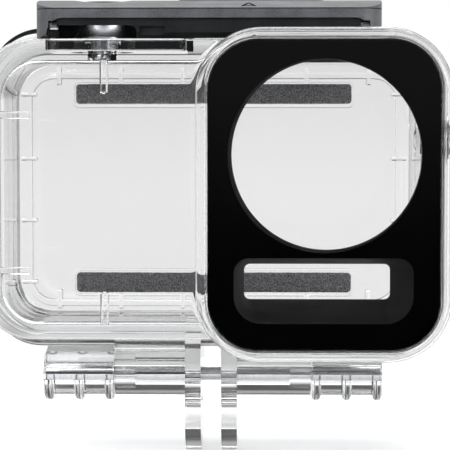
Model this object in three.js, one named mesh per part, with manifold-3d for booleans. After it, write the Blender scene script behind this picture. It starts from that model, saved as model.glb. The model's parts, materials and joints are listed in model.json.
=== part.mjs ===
// Underwater housing for a compact action camera.
// A clear moulded case with a lens turret, a clear rear door on a hinge pin, a dark latch with a
// sliding lock over the top edge, and two sealed push buttons.
//
// Millimetres. X to the right seen from the lens side, Y to the rear, Z up.
// The origin is the centre of the bolt hole through the two mounting fingers.
// Inside the housing group, X and Z start at the centre of the case's rear flange.

import * as THREE from 'three';
import { mergeVertices } from 'three/addons/utils/BufferGeometryUtils.js';
import Module from 'manifold-3d';

const wasm = await Module();
wasm.setup();

// Driving dimensions

// The camera that the case holds
const camera = {
  width: 70.5,
  height: 44.2,
  depth: 22.8,
  corner: 6.1,
};

// Play between pieces
const play = {
  camera: 0.35, // round the camera in its cavity
  nose: 0.1, // between the camera's front and the guide ribs
  door: 0.3, // between the door plate and the flange
  turning: 0.05, // a pin in its bore, on the radius
  beside: 0.15, // beside a turning or sliding piece
  bond: 0.1, // a glued or moulded joint
  seat: 0.12, // the window in its seat, all round
  swing: 0.2, // under the latch as it swings
};

// Clear tub and flange
const tub = {
  wallSide: 3.1,
  wallTop: 3.55,
  wallBottom: 2.35,
  wallFront: 2.4,
  corner: 8.6,
  edge: 2.2, // rounding of the outer front edge
  innerEdge: 2.0, // rounding of the cavity's front edge
};
const flange = {
  rearY: 13.0,
  thickness: 5.0,
  rimSide: 5.1, // from the cavity's side to the flange's edge
  rimEnd: 6.15, // from the cavity's top or bottom to the flange's edge
  corner: 9.5,
  edge: 0.7,
};

// Guide ribs on the front wall inside the tub
const rib = {
  depth: 1.0,
  postWidth: 1.4,
  postInset: 17.7, // from the cavity's left side
  postLength: 5.7,
  barWidth: 1.2,
  barInset: 9.25, // from the cavity's top or bottom
  barLength: 5.1,
};

// Lens turret on the front of the tub
const turret = {
  width: 41.5,
  sideInset: 1.15, // inside the flange's right edge
  topInset: 1.4, // below the flange's upper edge
  bottomInset: 1.7, // above the flange's lower edge
  corner: 10.7,
  edge: 1.5,
  proud: 14.0, // in front of the tub
  sink: 3.0, // behind the tub's front face
  rim: 1.8, // clear rim round the window
  seatCorner: 8.2,
  ledge: 1.3, // what the window's gasket bears on at the sides
  endLedge: 1.9, // the same at the top and bottom
};

// Window pane, its black mask and its gasket
const pane = {
  thickness: 2.0,
  recess: 0.35, // behind the turret's front
  edge: 0.25,
};
const mask = { thickness: 0.6 };
const paneGasket = {
  thickness: 0.7,
  width: 1.0,
};

// Round lens port in the mask, the largest that leaves these margins, and the ring behind it
const port = {
  shiftX: 0.1, // right of the turret's middle
  side: 5.05, // from the turret's side
  top: 5.0, // from the turret's top
  aboveWindow: 0.8, // above the sensor window
};
const lensRing = {
  shiftX: 0.3,
  shiftZ: 0.15,
  step: 0.35, // bore inside the port's edge
  width: 1.2,
  depth: 3.2,
};

// Sensor window in the mask, and the funnel hood behind it
const sensorWindow = {
  shiftX: -0.05, // right of the turret's middle
  side: 6.2, // from the turret's side
  below: 6.2, // from the turret's bottom
  height: 10.7,
  upperCorner: 2.5,
  lowerCorner: 4.5,
};
const hood = {
  wall: 0.9,
  shiftX: -0.6, // throat from the window's middle
  shiftZ: 0.35,
  taperSide: 2.2, // throat inside the window
  taperEnd: 2.35,
  throatCorner: 1.0,
  cameraGap: 0.6, // from its rear end to the camera's front
};

// Rear door
const door = {
  thickness: 3.7,
  edge: 0.9,
};
const plug = {
  width: 1.2,
  height: 0.9,
  insetSide: 1.2, // from the cavity's side wall
  insetBottom: 0.85,
  insetTop: 1.3,
  corner: 5.2,
};
const doorRib = {
  width: 1.0,
  length: 3.6,
  height: 0.8,
  sideInset: 6.15, // last column from the plug's side
  endInset: 4.425, // last row from the plug's end
  columns: 6,
  rows: 4,
};
const doorGasket = {
  offset: 1.5, // from the cavity's edge
  width: 1.7,
  depth: 1.2, // sunk in the door
  nip: 0.05, // left free under the flange
  edge: 0.2,
};
const pad = {
  endInset: 10.45, // from the cavity's side
  height: 3.6,
  thickness: 1.0,
  inset: 5.2, // its middle from the cavity's top or bottom
  corner: 0.5,
  frameGap: 0.45,
  frameWidth: 0.5,
  frameHeight: 0.5,
};
const rail = {
  thickness: 0.7, // proud of the door's upper edge
  inset: 0.3, // from the door's faces
};

// Mounting fingers
const finger = {
  boltDrop: 9.7, // bolt hole below the flange
  thickness: 2.73,
  gap: 3.52,
  radius: 7.5,
  bolt: 5.0,
};

// Hinge under the case
const hinge = {
  y: 8.0,
  drop: 4.9, // pin below the flange
  pinRadius: 1.25,
  barrel: 3.9,
  inner: 17.65, // half length of the case's knuckles
  sideInset: 10.2, // ends of the whole hinge inside the flange's sides
  webInset: 1.2, // web behind the door's inner face
  webFront: 3.4, // web in front of the pin
  webRear: 4.6, // web behind the pin
  webGrip: 1.8, // web up the door from its lower edge
  webSkin: 0.3, // web in front of the door's rear face
  ringWidth: 1.7,
  ringRadius: 4.5,
  ringCount: 3,
};

// Latch over the top
const latch = {
  frontY: -9.0,
  rearY: 19.3,
  leftInset: 11.0, // left end inside the flange's side
  rightInset: 11.5, // right end inside the flange's side
  corner: 3.0,
  frontHeight: 5.5, // above the tub's top
  crownHeight: 7.35,
  crownY: 1.0,
  rearRound: 2.6,
  endWall: 2.0,
  frontWall: 1.7,
  rearWall: 2.0,
  roof: 1.35,
  frontRoof: 1.15, // where the roof comes down to the front wall
  pivotInset: 2.7, // behind the front face
  pinRadius: 0.8,
  hookGap: 0.35, // above the door's rail
};
const latchFace = {
  bandHeight: 1.7, // upper band on the front
  recess: 0.5,
  recessCorner: 2.8,
  windowWidth: 14.9,
  windowHeight: 2.6,
  windowCorner: 1.2,
  slotGap: 0.4,
  slotWidth: 4.4,
  slotHeight: 1.5,
  slotBelowBand: 1.4,
  slotDepth: 0.5,
};
const lug = {
  radius: 1.4,
  width: 1.3,
  postHalf: 1.0, // half the post under the eye
  notchRise: 0.4, // notch in the latch's front wall, above the pivot
};

// Lock on the latch
const lock = {
  shiftX: 7.1, // right of the latch's middle
  width: 25.7,
  length: 11.0,
  frontY: 2.0,
  height: 2.05,
  corner: 2.2,
  edge: 0.6,
  travel: 3.0,
  stemWidth: 9.0,
  stemLength: 3.2,
  stemInset: 3.5, // behind the slider's front
  gripCount: 4,
  gripWidth: 0.6,
  gripDepth: 0.4,
  gripPitch: 1.6,
  gripLength: 17.0,
};
const tongue = {
  width: 16.0,
  length: 8.5,
  thickness: 1.6,
  lead: 1.5, // behind the slider's front
};
const keeper = {
  width: 7.0,
  length: 2.5,
  gap: 0.6, // in front of the tongue
  topGap: 0.5, // under the latch's roof
};
const lockSpring = {
  radius: 0.55,
  wire: 0.3,
  turns: 6,
};

// Push buttons. Heights are measured outwards from the wall's outer face.
const shutter = {
  inset: 10.9, // from the latch's left end
  y: 0,
  holeRadius: 5.35, // in the latch
  travel: 1.5,
  plungerRadius: 1.2,
  capRadius: 4.2,
  capHeight: 2.1,
  capEdge: 0.5,
  collarRadius: 5.5,
  collarLand: 0.8,
  collarTopRadius: 3.6,
  collarHeight: 3.2,
  spigotRadius: 2.4,
  springFloor: 1.2,
  springRadius: 1.95,
  springWire: 0.45,
  springTurns: 3,
  sealHeight: -0.2,
  sealSection: 0.35,
  clipRadius: 2.2,
  clipThickness: 0.5,
  clipPocket: 1.3,
};
const power = {
  y: 0,
  z: 9.0,
  travel: 1.2,
  plungerRadius: 1.2,
  capRadius: 3.9,
  capHeight: 1.5,
  capEdge: 0.45,
  collarRadius: 4.6,
  collarLand: 0.45,
  collarTopRadius: 4.1,
  collarHeight: 0.7,
  spigotRadius: 3.2,
  springFloor: -0.7,
  springRadius: 1.95,
  springWire: 0.3,
  springTurns: 3,
  sealHeight: -1.35,
  sealSection: 0.32,
  clipRadius: 2.2,
  clipThickness: 0.5,
  clipPocket: 1.1,
};

// Small fits shared by both buttons
const button = {
  reserve: 0.2, // left under the cap at full travel
  seatGap: 0.1, // under the collar and above the clip
  pocketGap: 0.4, // round the spring and the clip
  socketDepth: 1.0, // plunger's end in the cap
  grooveGap: 0.05, // round the seal
  clipGroove: 0.35, // depth of the clip's groove
  tipInset: 0.1, // plunger's end short of the cavity
};

// How far a cutter runs past the face that it cuts
const overrun = 5.0;

// Counts
const cornerDivisions = 4;
const edgeSegments = 2;
const roundDivisions = 12;
const latheSteps = 20;
const sealSides = 6;
const springSteps = 8;
const springSides = 5;

// Places worked out from the sizes

const cavityX = camera.width / 2 + play.camera;
const cavityZ = camera.height / 2 + play.camera;
const cavityCorner = camera.corner + play.camera;
const doorY = flange.rearY + play.door;
const cameraFrontY = doorY - pad.thickness - camera.depth;
const cavityFrontY = cameraFrontY - play.nose - rib.depth;
const tubFrontY = cavityFrontY - tub.wallFront;
const tubX = cavityX + tub.wallSide;
const tubTop = cavityZ + tub.wallTop;
const tubBottom = -cavityZ - tub.wallBottom;
const flangeFrontY = flange.rearY - flange.thickness;
const flangeX = cavityX + flange.rimSide;
const flangeZ = cavityZ + flange.rimEnd;
const doorRearY = doorY + door.thickness;

const turretX = flangeX - turret.sideInset - turret.width / 2;
const turretTop = flangeZ - turret.topInset;
const turretBottom = -flangeZ + turret.bottomInset;
const turretHeight = turretTop - turretBottom;
const turretZ = (turretTop + turretBottom) / 2;
const turretFrontY = tubFrontY - turret.proud;
const paneFrontY = turretFrontY + pane.recess;
const maskFrontY = paneFrontY + pane.thickness;
const maskRearY = maskFrontY + mask.thickness;
const ledgeY = maskRearY + paneGasket.thickness;
const seatWidth = turret.width - 2 * turret.rim;
const seatHeight = turretHeight - 2 * turret.rim;

const windowX = turretX + sensorWindow.shiftX;
const windowZ = turretBottom + sensorWindow.below + sensorWindow.height / 2;
const windowWidth = turret.width - 2 * sensorWindow.side;
const sensorTop = windowZ + sensorWindow.height / 2;
const portRadius = Math.min(
  turret.width / 2 - port.side,
  (turretTop - port.top - port.aboveWindow - sensorTop) / 2,
);
const portX = turretX + port.shiftX;
const portZ = turretTop - port.top - portRadius;

const padLength = 2 * (cavityX - pad.endInset);
const padZ = cavityZ - pad.inset;

const pinZ = -flangeZ - hinge.drop;
const boltZ = -flangeZ - finger.boltDrop;
const hingeEnd = flangeX - hinge.sideInset;
const fingerInner = finger.gap / 2;
const fingerOuter = fingerInner + finger.thickness;

const pivotY = latch.frontY + latch.pivotInset;
const pivotZ = tubTop + play.swing + latch.pivotInset;
const crownZ = tubTop + latch.crownHeight;
const roofZ = crownZ - latch.roof;
const railTop = flangeZ + rail.thickness;
const latchLeft = -flangeX + latch.leftInset;
const latchRight = flangeX - latch.rightInset;
const latchX = (latchLeft + latchRight) / 2;
const lockX = latchX + lock.shiftX;
const shutterX = latchLeft + shutter.inset;

// Finishes
const clear = new THREE.MeshStandardMaterial({
  color: '#eef1f3', roughness: 0.05, metalness: 0, transparent: true, opacity: 0.3,
});
const glass = new THREE.MeshStandardMaterial({
  color: '#eef3f4', roughness: 0.02, metalness: 0, transparent: true, opacity: 0.25,
});
const glossBlack = new THREE.MeshStandardMaterial({ color: '#0e0f12', roughness: 0.15, metalness: 0 });
const mattBlack = new THREE.MeshStandardMaterial({ color: '#26282b', roughness: 0.6, metalness: 0 });
const latchGrey = new THREE.MeshStandardMaterial({ color: '#3c3e41', roughness: 0.5, metalness: 0 });
const sliderGrey = new THREE.MeshStandardMaterial({ color: '#b3b1af', roughness: 0.5, metalness: 0 });
const felt = new THREE.MeshStandardMaterial({ color: '#4b4b4d', roughness: 0.95, metalness: 0 });
const paleRubber = new THREE.MeshStandardMaterial({ color: '#dfe2e4', roughness: 0.6, metalness: 0 });
const blackRubber = new THREE.MeshStandardMaterial({ color: '#18191b', roughness: 0.7, metalness: 0 });
const steel = new THREE.MeshStandardMaterial({ color: '#b9bcc0', roughness: 0.25, metalness: 1 });
const greyMetal = new THREE.MeshStandardMaterial({ color: '#7d8085', roughness: 0.3, metalness: 0.8 });

// Geometry helpers

// Position-only geometry with shared corners and no collapsed triangles
function welded(geometry) {
  const bare = new THREE.BufferGeometry();
  bare.setAttribute('position', geometry.getAttribute('position').clone());
  if (geometry.index) {
    bare.setIndex(geometry.index.clone());
  }
  const merged = mergeVertices(bare);
  const corners = merged.index.array;
  const kept = [];
  for (let i = 0; i < corners.length; i += 3) {
    const [a, b, c] = [corners[i], corners[i + 1], corners[i + 2]];
    if (a !== b && b !== c && c !== a) {
      kept.push(a, b, c);
    }
  }
  merged.setIndex(kept);
  return merged;
}

// Volume inside a closed mesh, negative when its faces point inwards
function signedVolume(geometry) {
  const places = geometry.getAttribute('position');
  const corners = geometry.index.array;
  const a = new THREE.Vector3();
  const b = new THREE.Vector3();
  const c = new THREE.Vector3();
  let sum = 0;
  for (let i = 0; i < corners.length; i += 3) {
    a.fromBufferAttribute(places, corners[i]);
    b.fromBufferAttribute(places, corners[i + 1]);
    c.fromBufferAttribute(places, corners[i + 2]);
    sum += a.dot(b.cross(c));
  }
  return sum / 6;
}

function outward(geometry) {
  if (signedVolume(geometry) < 0) {
    const corners = Array.from(geometry.index.array);
    geometry.setIndex(corners.reverse());
  }
  return geometry;
}

function solid(geometry) {
  const closed = outward(welded(geometry));
  return new wasm.Manifold(new wasm.Mesh({
    numProp: 3,
    vertProperties: Float32Array.from(closed.getAttribute('position').array),
    triVerts: Uint32Array.from(closed.index.array),
  }));
}

function toGeometry(shape) {
  const mesh = shape.getMesh();
  const geometry = new THREE.BufferGeometry();
  geometry.setAttribute('position', new THREE.BufferAttribute(mesh.vertProperties, 3));
  geometry.setIndex(new THREE.BufferAttribute(mesh.triVerts, 1));
  return geometry;
}

function join(first, ...others) {
  return others.reduce((whole, part) => whole.add(part), first);
}

function cut(first, ...cutters) {
  return cutters.reduce((whole, cutter) => whole.subtract(cutter), first);
}

// Points round a rectangle with four round corners, as many at any size
function roundedPoints(width, height, corner, x = 0, z = 0, lowerCorner = corner) {
  const quarters = [
    { sideX: 1, sideZ: -1, radius: lowerCorner },
    { sideX: 1, sideZ: 1, radius: corner },
    { sideX: -1, sideZ: 1, radius: corner },
    { sideX: -1, sideZ: -1, radius: lowerCorner },
  ];
  return quarters.flatMap(({ sideX, sideZ, radius }, k) => {
    const centreX = x + sideX * (width / 2 - radius);
    const centreZ = z + sideZ * (height / 2 - radius);
    return Array.from({ length: cornerDivisions + 1 }, (_, i) => {
      const angle = (Math.PI / 2) * (k - 1 + i / cornerDivisions);
      return new THREE.Vector2(centreX + radius * Math.cos(angle), centreZ + radius * Math.sin(angle));
    });
  });
}

function roundedRect(...sizes) {
  return new THREE.Shape(roundedPoints(...sizes));
}

function circle(radius, x = 0, z = 0) {
  const shape = new THREE.Shape();
  shape.absarc(x, z, radius, 0, 2 * Math.PI, false);
  return shape;
}

function polygon(points) {
  return new THREE.Shape(points.map(([u, v]) => new THREE.Vector2(u, v)));
}

const unitX = new THREE.Vector3(1, 0, 0);
const unitY = new THREE.Vector3(0, 1, 0);
const unitZ = new THREE.Vector3(0, 0, 1);
const frames = {
  x: new THREE.Matrix4().makeBasis(unitY, unitZ, unitX),
  y: new THREE.Matrix4().makeBasis(unitX, unitZ, unitY.clone().negate()),
  z: new THREE.Matrix4(),
};

// A shape drawn in the plane across an axis and carried along it from low to high.
// Across X it is drawn in Y and Z, across Y in X and Z, and across Z in X and Y.
function prism(axis, shape, low, high, { edge = 0, divisions = cornerDivisions } = {}) {
  const geometry = new THREE.ExtrudeGeometry(shape, {
    depth: high - low - 2 * edge,
    steps: 1,
    curveSegments: divisions,
    bevelEnabled: edge > 0,
    bevelThickness: edge,
    bevelSize: edge,
    bevelOffset: -edge,
    bevelSegments: edgeSegments,
  });
  geometry.translate(0, 0, edge);
  geometry.applyMatrix4(frames[axis]);
  const start = { x: [low, 0, 0], y: [0, high, 0], z: [0, 0, low] }[axis];
  geometry.translate(...start);
  return solid(geometry);
}

function box([x0, x1], [y0, y1], [z0, z1]) {
  const geometry = new THREE.BoxGeometry(x1 - x0, y1 - y0, z1 - z0);
  geometry.translate((x0 + x1) / 2, (y0 + y1) / 2, (z0 + z1) / 2);
  return solid(geometry);
}

// A profile of [radius, height] points turned round the Z axis
function turned(profile) {
  const points = profile.map(([radius, height]) => new THREE.Vector2(radius, height));
  const geometry = new THREE.LatheGeometry(points, latheSteps);
  geometry.rotateX(Math.PI / 2);
  return solid(geometry);
}

// A ring wall lofted through outlines that all have the same number of points,
// from the outer front round the rear to the inner front, closed on itself
function loftedRing(outlines) {
  const count = outlines[0].length;
  const positions = outlines.flat().flatMap((point) => [point.x, point.y, point.z]);
  const index = [];
  outlines.forEach((outline, k) => {
    const next = (k + 1) % outlines.length;
    for (let i = 0; i < count; i += 1) {
      const j = (i + 1) % count;
      const a = k * count + i;
      const b = k * count + j;
      const c = next * count + i;
      const d = next * count + j;
      index.push(a, b, d, a, d, c);
    }
  });
  const geometry = new THREE.BufferGeometry();
  geometry.setAttribute('position', new THREE.Float32BufferAttribute(positions, 3));
  geometry.setIndex(index);
  return solid(geometry);
}

// Points drawn in X and Z, set at one Y
function outlineAt(points, y) {
  return points.map((point) => new THREE.Vector3(point.x, y, point.y));
}

// A wound spring along Z from its floor to its top, as one unbroken tube
function spring(name, radius, wire, turns, floor, top) {
  const wireRadius = wire / 2;
  const steps = turns * springSteps;
  const rise = top - floor - wire;
  const positions = [];
  const centres = [];
  for (let i = 0; i <= steps; i += 1) {
    const angle = (2 * Math.PI * i) / springSteps;
    const height = floor + wireRadius + (rise * i) / steps;
    const out = new THREE.Vector3(Math.cos(angle), Math.sin(angle), 0);
    const centre = out.clone().multiplyScalar(radius).setZ(height);
    centres.push(centre);
    for (let j = 0; j < springSides; j += 1) {
      const turn = (2 * Math.PI * j) / springSides;
      const point = centre.clone().addScaledVector(out, wireRadius * Math.cos(turn));
      point.z += wireRadius * Math.sin(turn);
      positions.push(point.x, point.y, point.z);
    }
  }
  const index = [];
  for (let i = 0; i < steps; i += 1) {
    for (let j = 0; j < springSides; j += 1) {
      const k = (j + 1) % springSides;
      const [a, b] = [i * springSides + j, i * springSides + k];
      const [c, d] = [a + springSides, b + springSides];
      index.push(a, b, d, a, d, c);
    }
  }
  const last = steps * springSides;
  for (let j = 1; j < springSides - 1; j += 1) {
    index.push(0, j + 1, j);
    index.push(last, last + j, last + j + 1);
  }
  let least = Infinity;
  centres.forEach((here, i) => {
    centres.slice(i + springSteps / 2).forEach((there) => {
      least = Math.min(least, here.distanceTo(there) - wire);
    });
  });
  console.log(`${name}: least gap to itself ${least.toFixed(3)} mm`);
  const geometry = new THREE.BufferGeometry();
  geometry.setAttribute('position', new THREE.Float32BufferAttribute(positions, 3));
  geometry.setIndex(index);
  return solid(geometry);
}

const housing = new THREE.Group();
housing.position.z = -boltZ;

function place(name, shape, material, parent = housing) {
  const mesh = new THREE.Mesh(toGeometry(shape), material);
  mesh.name = name;
  parent.add(mesh);
  return mesh;
}

// Clear case: tub, flange, lens turret, guide ribs, latch lugs and button seats

function tubBlock() {
  const height = tubTop - tubBottom;
  const middle = (tubTop + tubBottom) / 2;
  const rearInFlange = flange.rearY - flange.edge;
  const tubBody = prism('y', roundedRect(2 * tubX, height, tub.corner, 0, middle), tubFrontY,
    rearInFlange, { edge: tub.edge });
  const rim = prism('y', roundedRect(2 * flangeX, 2 * flangeZ, flange.corner), flangeFrontY,
    flange.rearY, { edge: flange.edge });
  const turretShape = roundedRect(turret.width, turretHeight, turret.corner, turretX, turretZ);
  const tower = prism('y', turretShape, turretFrontY, tubFrontY + turret.sink, { edge: turret.edge });
  return join(tubBody, rim, tower);
}

function cavityCutters() {
  const chamber = prism('y', roundedRect(2 * cavityX, 2 * cavityZ, cavityCorner), cavityFrontY,
    flange.rearY + overrun, { edge: tub.innerEdge });
  const seat = prism('y', roundedRect(seatWidth, seatHeight, turret.seatCorner, turretX,
    turretZ), turretFrontY - overrun, ledgeY);
  const wellShape = roundedRect(seatWidth - 2 * turret.ledge, seatHeight - 2 * turret.endLedge,
    turret.seatCorner - turret.ledge, turretX, turretZ);
  const well = prism('y', wellShape, ledgeY - overrun, cavityFrontY + tub.innerEdge);
  return [chamber, seat, well];
}

function guideRibs() {
  const depthRange = [cavityFrontY - tub.wallFront / 2, cavityFrontY + rib.depth];
  const postX = -cavityX + rib.postInset;
  const postRange = [postX - rib.postWidth / 2, postX + rib.postWidth / 2];
  const root = tub.wallBottom / 2;
  const posts = [-1, 1].map((side) => {
    const ends = [side * (cavityZ - rib.postLength), side * (cavityZ + root)];
    return box(postRange, depthRange, ends.sort((a, b) => a - b));
  });
  const bars = [-1, 1].map((side) => {
    const middle = side * (cavityZ - rib.barInset);
    return box([-cavityX - root, -cavityX + rib.barLength], depthRange,
      [middle - rib.barWidth / 2, middle + rib.barWidth / 2]);
  });
  return [...posts, ...bars];
}

const lugLeftX = latchLeft + latch.endWall + play.beside;
const lugRightX = latchRight - latch.endWall - play.beside - lug.width;

function latchLugs() {
  return [lugLeftX, lugRightX].map((x) => {
    const post = box([x, x + lug.width], [pivotY - lug.postHalf, pivotY + lug.postHalf],
      [tubTop - tub.wallTop / 2, pivotZ]);
    const eye = prism('x', circle(lug.radius, pivotY, pivotZ), x, x + lug.width,
      { divisions: roundDivisions });
    const bore = prism('x', circle(latch.pinRadius + play.turning, pivotY, pivotZ), x - overrun,
      x + lug.width + overrun, { divisions: roundDivisions });
    return cut(join(post, eye), bore);
  });
}

const tongueFrontY = lock.frontY + tongue.lead;

function keeperPost() {
  const rear = tongueFrontY - keeper.gap;
  const half = keeper.width / 2;
  return box([lockX - half, lockX + half], [rear - keeper.length, rear],
    [tubTop + play.bond, roofZ - keeper.topGap]);
}

// Bore and clip pocket for a button, along Z from the outer face of a wall
function buttonSeat(size, wall) {
  const bore = size.spigotRadius + play.beside;
  const pocket = size.clipRadius + button.pocketGap;
  const floor = -wall + size.clipPocket;
  return turned([
    [0, -wall - overrun],
    [pocket, -wall - overrun],
    [pocket, floor],
    [bore, floor],
    [bore, overrun],
    [0, overrun],
  ]);
}

function bodyShell() {
  const shutterSeat = buttonSeat(shutter, tub.wallTop).translate([shutterX, shutter.y, tubTop]);
  const powerSeat = buttonSeat(power, tub.wallSide).rotate([0, 90, 0])
    .translate([tubX, power.y, power.z]);
  const hollow = cut(tubBlock(), ...cavityCutters());
  const ribbed = join(hollow, ...guideRibs());
  const bored = cut(ribbed, shutterSeat, powerSeat);
  return join(bored, ...latchLugs());
}

place('body_shell', bodyShell(), clear);
place('keeper_post', keeperPost(), clear);

// Fingers and the case's hinge knuckles, under the flange

function barrel(radius, from, to) {
  return prism('x', circle(radius, hinge.y, pinZ), from, to, { divisions: roundDivisions });
}

function mirrored(make) {
  return [make(1), make(-1)];
}

function rangeOn(side, near, far) {
  return side > 0 ? [near, far] : [-far, -near];
}

function mountFingers() {
  const top = tubBottom - play.bond;
  const blade = new THREE.Shape();
  blade.absarc(0, boltZ, finger.radius, Math.PI, 2 * Math.PI, false);
  blade.lineTo(finger.radius, top);
  blade.lineTo(-finger.radius, top);
  const parts = mirrored((side) => {
    const [x0, x1] = rangeOn(side, fingerInner, fingerOuter);
    const plate = prism('x', blade, x0, x1, { divisions: roundDivisions / 2 });
    const [k0, k1] = rangeOn(side, fingerInner, hinge.inner);
    const knuckle = barrel(hinge.barrel, k0, k1);
    const web = prism('x', polygon([
      [hinge.y - hinge.webFront, pinZ],
      [hinge.y + hinge.webFront, pinZ],
      [hinge.y + hinge.webRear, -flangeZ - play.bond],
      [flangeFrontY - play.bond, -flangeZ - play.bond],
      [flangeFrontY - play.bond, top],
      [hinge.y - hinge.webFront, top],
    ]), k0, k1);
    return join(plate, knuckle, web);
  });
  const reach = hinge.inner + overrun;
  const pinBore = barrel(hinge.pinRadius + play.turning, -reach, reach);
  const boltBore = prism('x', circle(finger.bolt / 2, 0, boltZ), -reach, reach,
    { divisions: roundDivisions });
  return parts.map((part) => cut(part, pinBore, boltBore));
}

mountFingers().forEach((part, i) => {
  place(i === 0 ? 'mount_finger_right' : 'mount_finger_left', part, clear);
});

place('hinge_pin', barrel(hinge.pinRadius, -hingeEnd, hingeEnd), steel);

// Window pane, mask, gasket, lens ring and sensor hood in the turret

const paneWidth = seatWidth - 2 * play.seat;
const paneHeight = seatHeight - 2 * play.seat;
const paneCorner = turret.seatCorner - play.seat;

function paneShape() {
  return roundedRect(paneWidth, paneHeight, paneCorner, turretX, turretZ);
}

function windowPoints(grow = 0) {
  return roundedPoints(windowWidth + 2 * grow, sensorWindow.height + 2 * grow,
    sensorWindow.upperCorner + grow, windowX, windowZ, sensorWindow.lowerCorner + grow);
}

function throatPoints(grow = 0) {
  return roundedPoints(windowWidth - 2 * hood.taperSide + 2 * grow,
    sensorWindow.height - 2 * hood.taperEnd + 2 * grow, hood.throatCorner + grow,
    windowX + hood.shiftX, windowZ + hood.shiftZ);
}

function faceMask() {
  const plate = prism('y', paneShape(), maskFrontY, maskRearY);
  const hole = prism('y', circle(portRadius, portX, portZ), maskFrontY - overrun,
    maskRearY + overrun, { divisions: 2 * roundDivisions });
  const window = prism('y', new THREE.Shape(windowPoints()), maskFrontY - overrun,
    maskRearY + overrun);
  return cut(plate, hole, window);
}

function paneGasketRing() {
  const inner = roundedRect(paneWidth - 2 * paneGasket.width, paneHeight - 2 * paneGasket.width,
    paneCorner - paneGasket.width, turretX, turretZ);
  const ring = prism('y', paneShape(), maskRearY + play.bond / 2, ledgeY - play.bond / 2);
  return cut(ring, prism('y', inner, maskRearY - overrun, ledgeY + overrun));
}

const hoodFrontY = maskRearY + play.bond / 2;

function sensorHood() {
  const rearY = cameraFrontY - hood.cameraGap;
  return loftedRing([
    outlineAt(windowPoints(hood.wall), hoodFrontY),
    outlineAt(throatPoints(hood.wall), rearY),
    outlineAt(throatPoints(), rearY),
    outlineAt(windowPoints(), hoodFrontY),
  ]);
}

// The ring is cut thin below, where the sensor hood passes it
function lensRingBody() {
  const x = portX + lensRing.shiftX;
  const z = portZ + lensRing.shiftZ;
  const bore = portRadius - lensRing.step;
  const front = hoodFrontY;
  const rear = front + lensRing.depth;
  const outer = prism('y', circle(bore + lensRing.width, x, z), front, rear,
    { divisions: roundDivisions });
  const inner = prism('y', circle(bore, x, z), front - overrun, rear + overrun,
    { divisions: roundDivisions });
  const hoodTop = sensorTop + hood.wall + play.bond;
  const reach = bore + overrun;
  const relief = box([x - reach, x + reach], [front - overrun, rear + overrun],
    [hoodTop - reach, hoodTop]);
  return cut(outer, inner, relief);
}

place('front_glass', prism('y', paneShape(), paneFrontY, maskFrontY, { edge: pane.edge }), glass);
place('face_mask', faceMask(), glossBlack);
place('window_gasket', paneGasketRing(), blackRubber);
place('lens_ring', lensRingBody(), mattBlack);
place('sensor_hood', sensorHood(), mattBlack);

// Rear door with its plug, ribs, pad frames and outer knuckles

const plugX = cavityX - plug.insetSide;
const plugTop = cavityZ - plug.insetTop;
const plugBottom = -cavityZ + plug.insetBottom;
const plugMiddle = (plugTop + plugBottom) / 2;

function plugRing() {
  const height = plugTop - plugBottom;
  const front = doorY - plug.height;
  const outer = prism('y', roundedRect(2 * plugX, height, plug.corner, 0, plugMiddle), front,
    doorY + door.thickness / 2);
  const inner = roundedRect(2 * plugX - 2 * plug.width, height - 2 * plug.width,
    plug.corner - plug.width, 0, plugMiddle);
  return cut(outer, prism('y', inner, front - overrun, doorY));
}

// Middles of a number of copies, spaced evenly about zero
function spread(count, pitch) {
  return Array.from({ length: count }, (_, i) => (i - (count - 1) / 2) * pitch);
}

function doorRibs() {
  const depth = [doorY - doorRib.height, doorY + door.thickness / 2];
  const half = doorRib.width / 2;
  const upper = [plugTop - doorRib.length, plugTop - plug.width / 2];
  const lower = [plugBottom + plug.width / 2, plugBottom + doorRib.length];
  const columnPitch = (2 * (plugX - doorRib.sideInset)) / (doorRib.columns - 1);
  const rowPitch = (plugTop - plugBottom - 2 * doorRib.endInset) / (doorRib.rows - 1);
  const upright = spread(doorRib.columns, columnPitch).flatMap(
    (x) => [upper, lower].map((reach) => box([x - half, x + half], depth, reach)),
  );
  const level = spread(doorRib.rows, rowPitch).flatMap((z) => mirrored((side) => {
    const reach = rangeOn(side, plugX - doorRib.length, plugX - plug.width / 2);
    return box(reach, depth, [z - half, z + half]);
  }));
  return [...upright, ...level];
}

function padFrame(z) {
  const wide = pad.frameGap + pad.frameWidth;
  return prism('y', roundedRect(padLength + 2 * wide, pad.height + 2 * wide, pad.corner + wide,
    0, z), doorY - pad.frameHeight, doorY + door.thickness / 2);
}

function padWell(z) {
  const grow = pad.frameGap;
  return prism('y', roundedRect(padLength + 2 * grow, pad.height + 2 * grow, pad.corner + grow,
    0, z), doorY - overrun, doorY);
}

function gasketShapes(grow) {
  const offset = doorGasket.offset - grow;
  const far = doorGasket.offset + doorGasket.width + grow;
  return [
    roundedRect(2 * (cavityX + far), 2 * (cavityZ + far), cavityCorner + far),
    roundedRect(2 * (cavityX + offset), 2 * (cavityZ + offset), cavityCorner + offset),
  ];
}

function gasketGroove() {
  const [outer, inner] = gasketShapes(play.bond);
  const floor = doorY + doorGasket.depth;
  return cut(prism('y', outer, doorY - overrun, floor),
    prism('y', inner, doorY - 2 * overrun, floor + overrun));
}

function gasketRing() {
  const [outer, inner] = gasketShapes(0);
  outer.holes.push(inner);
  return prism('y', outer, flange.rearY + doorGasket.nip, doorY + doorGasket.depth - play.bond,
    { edge: doorGasket.edge });
}

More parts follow.
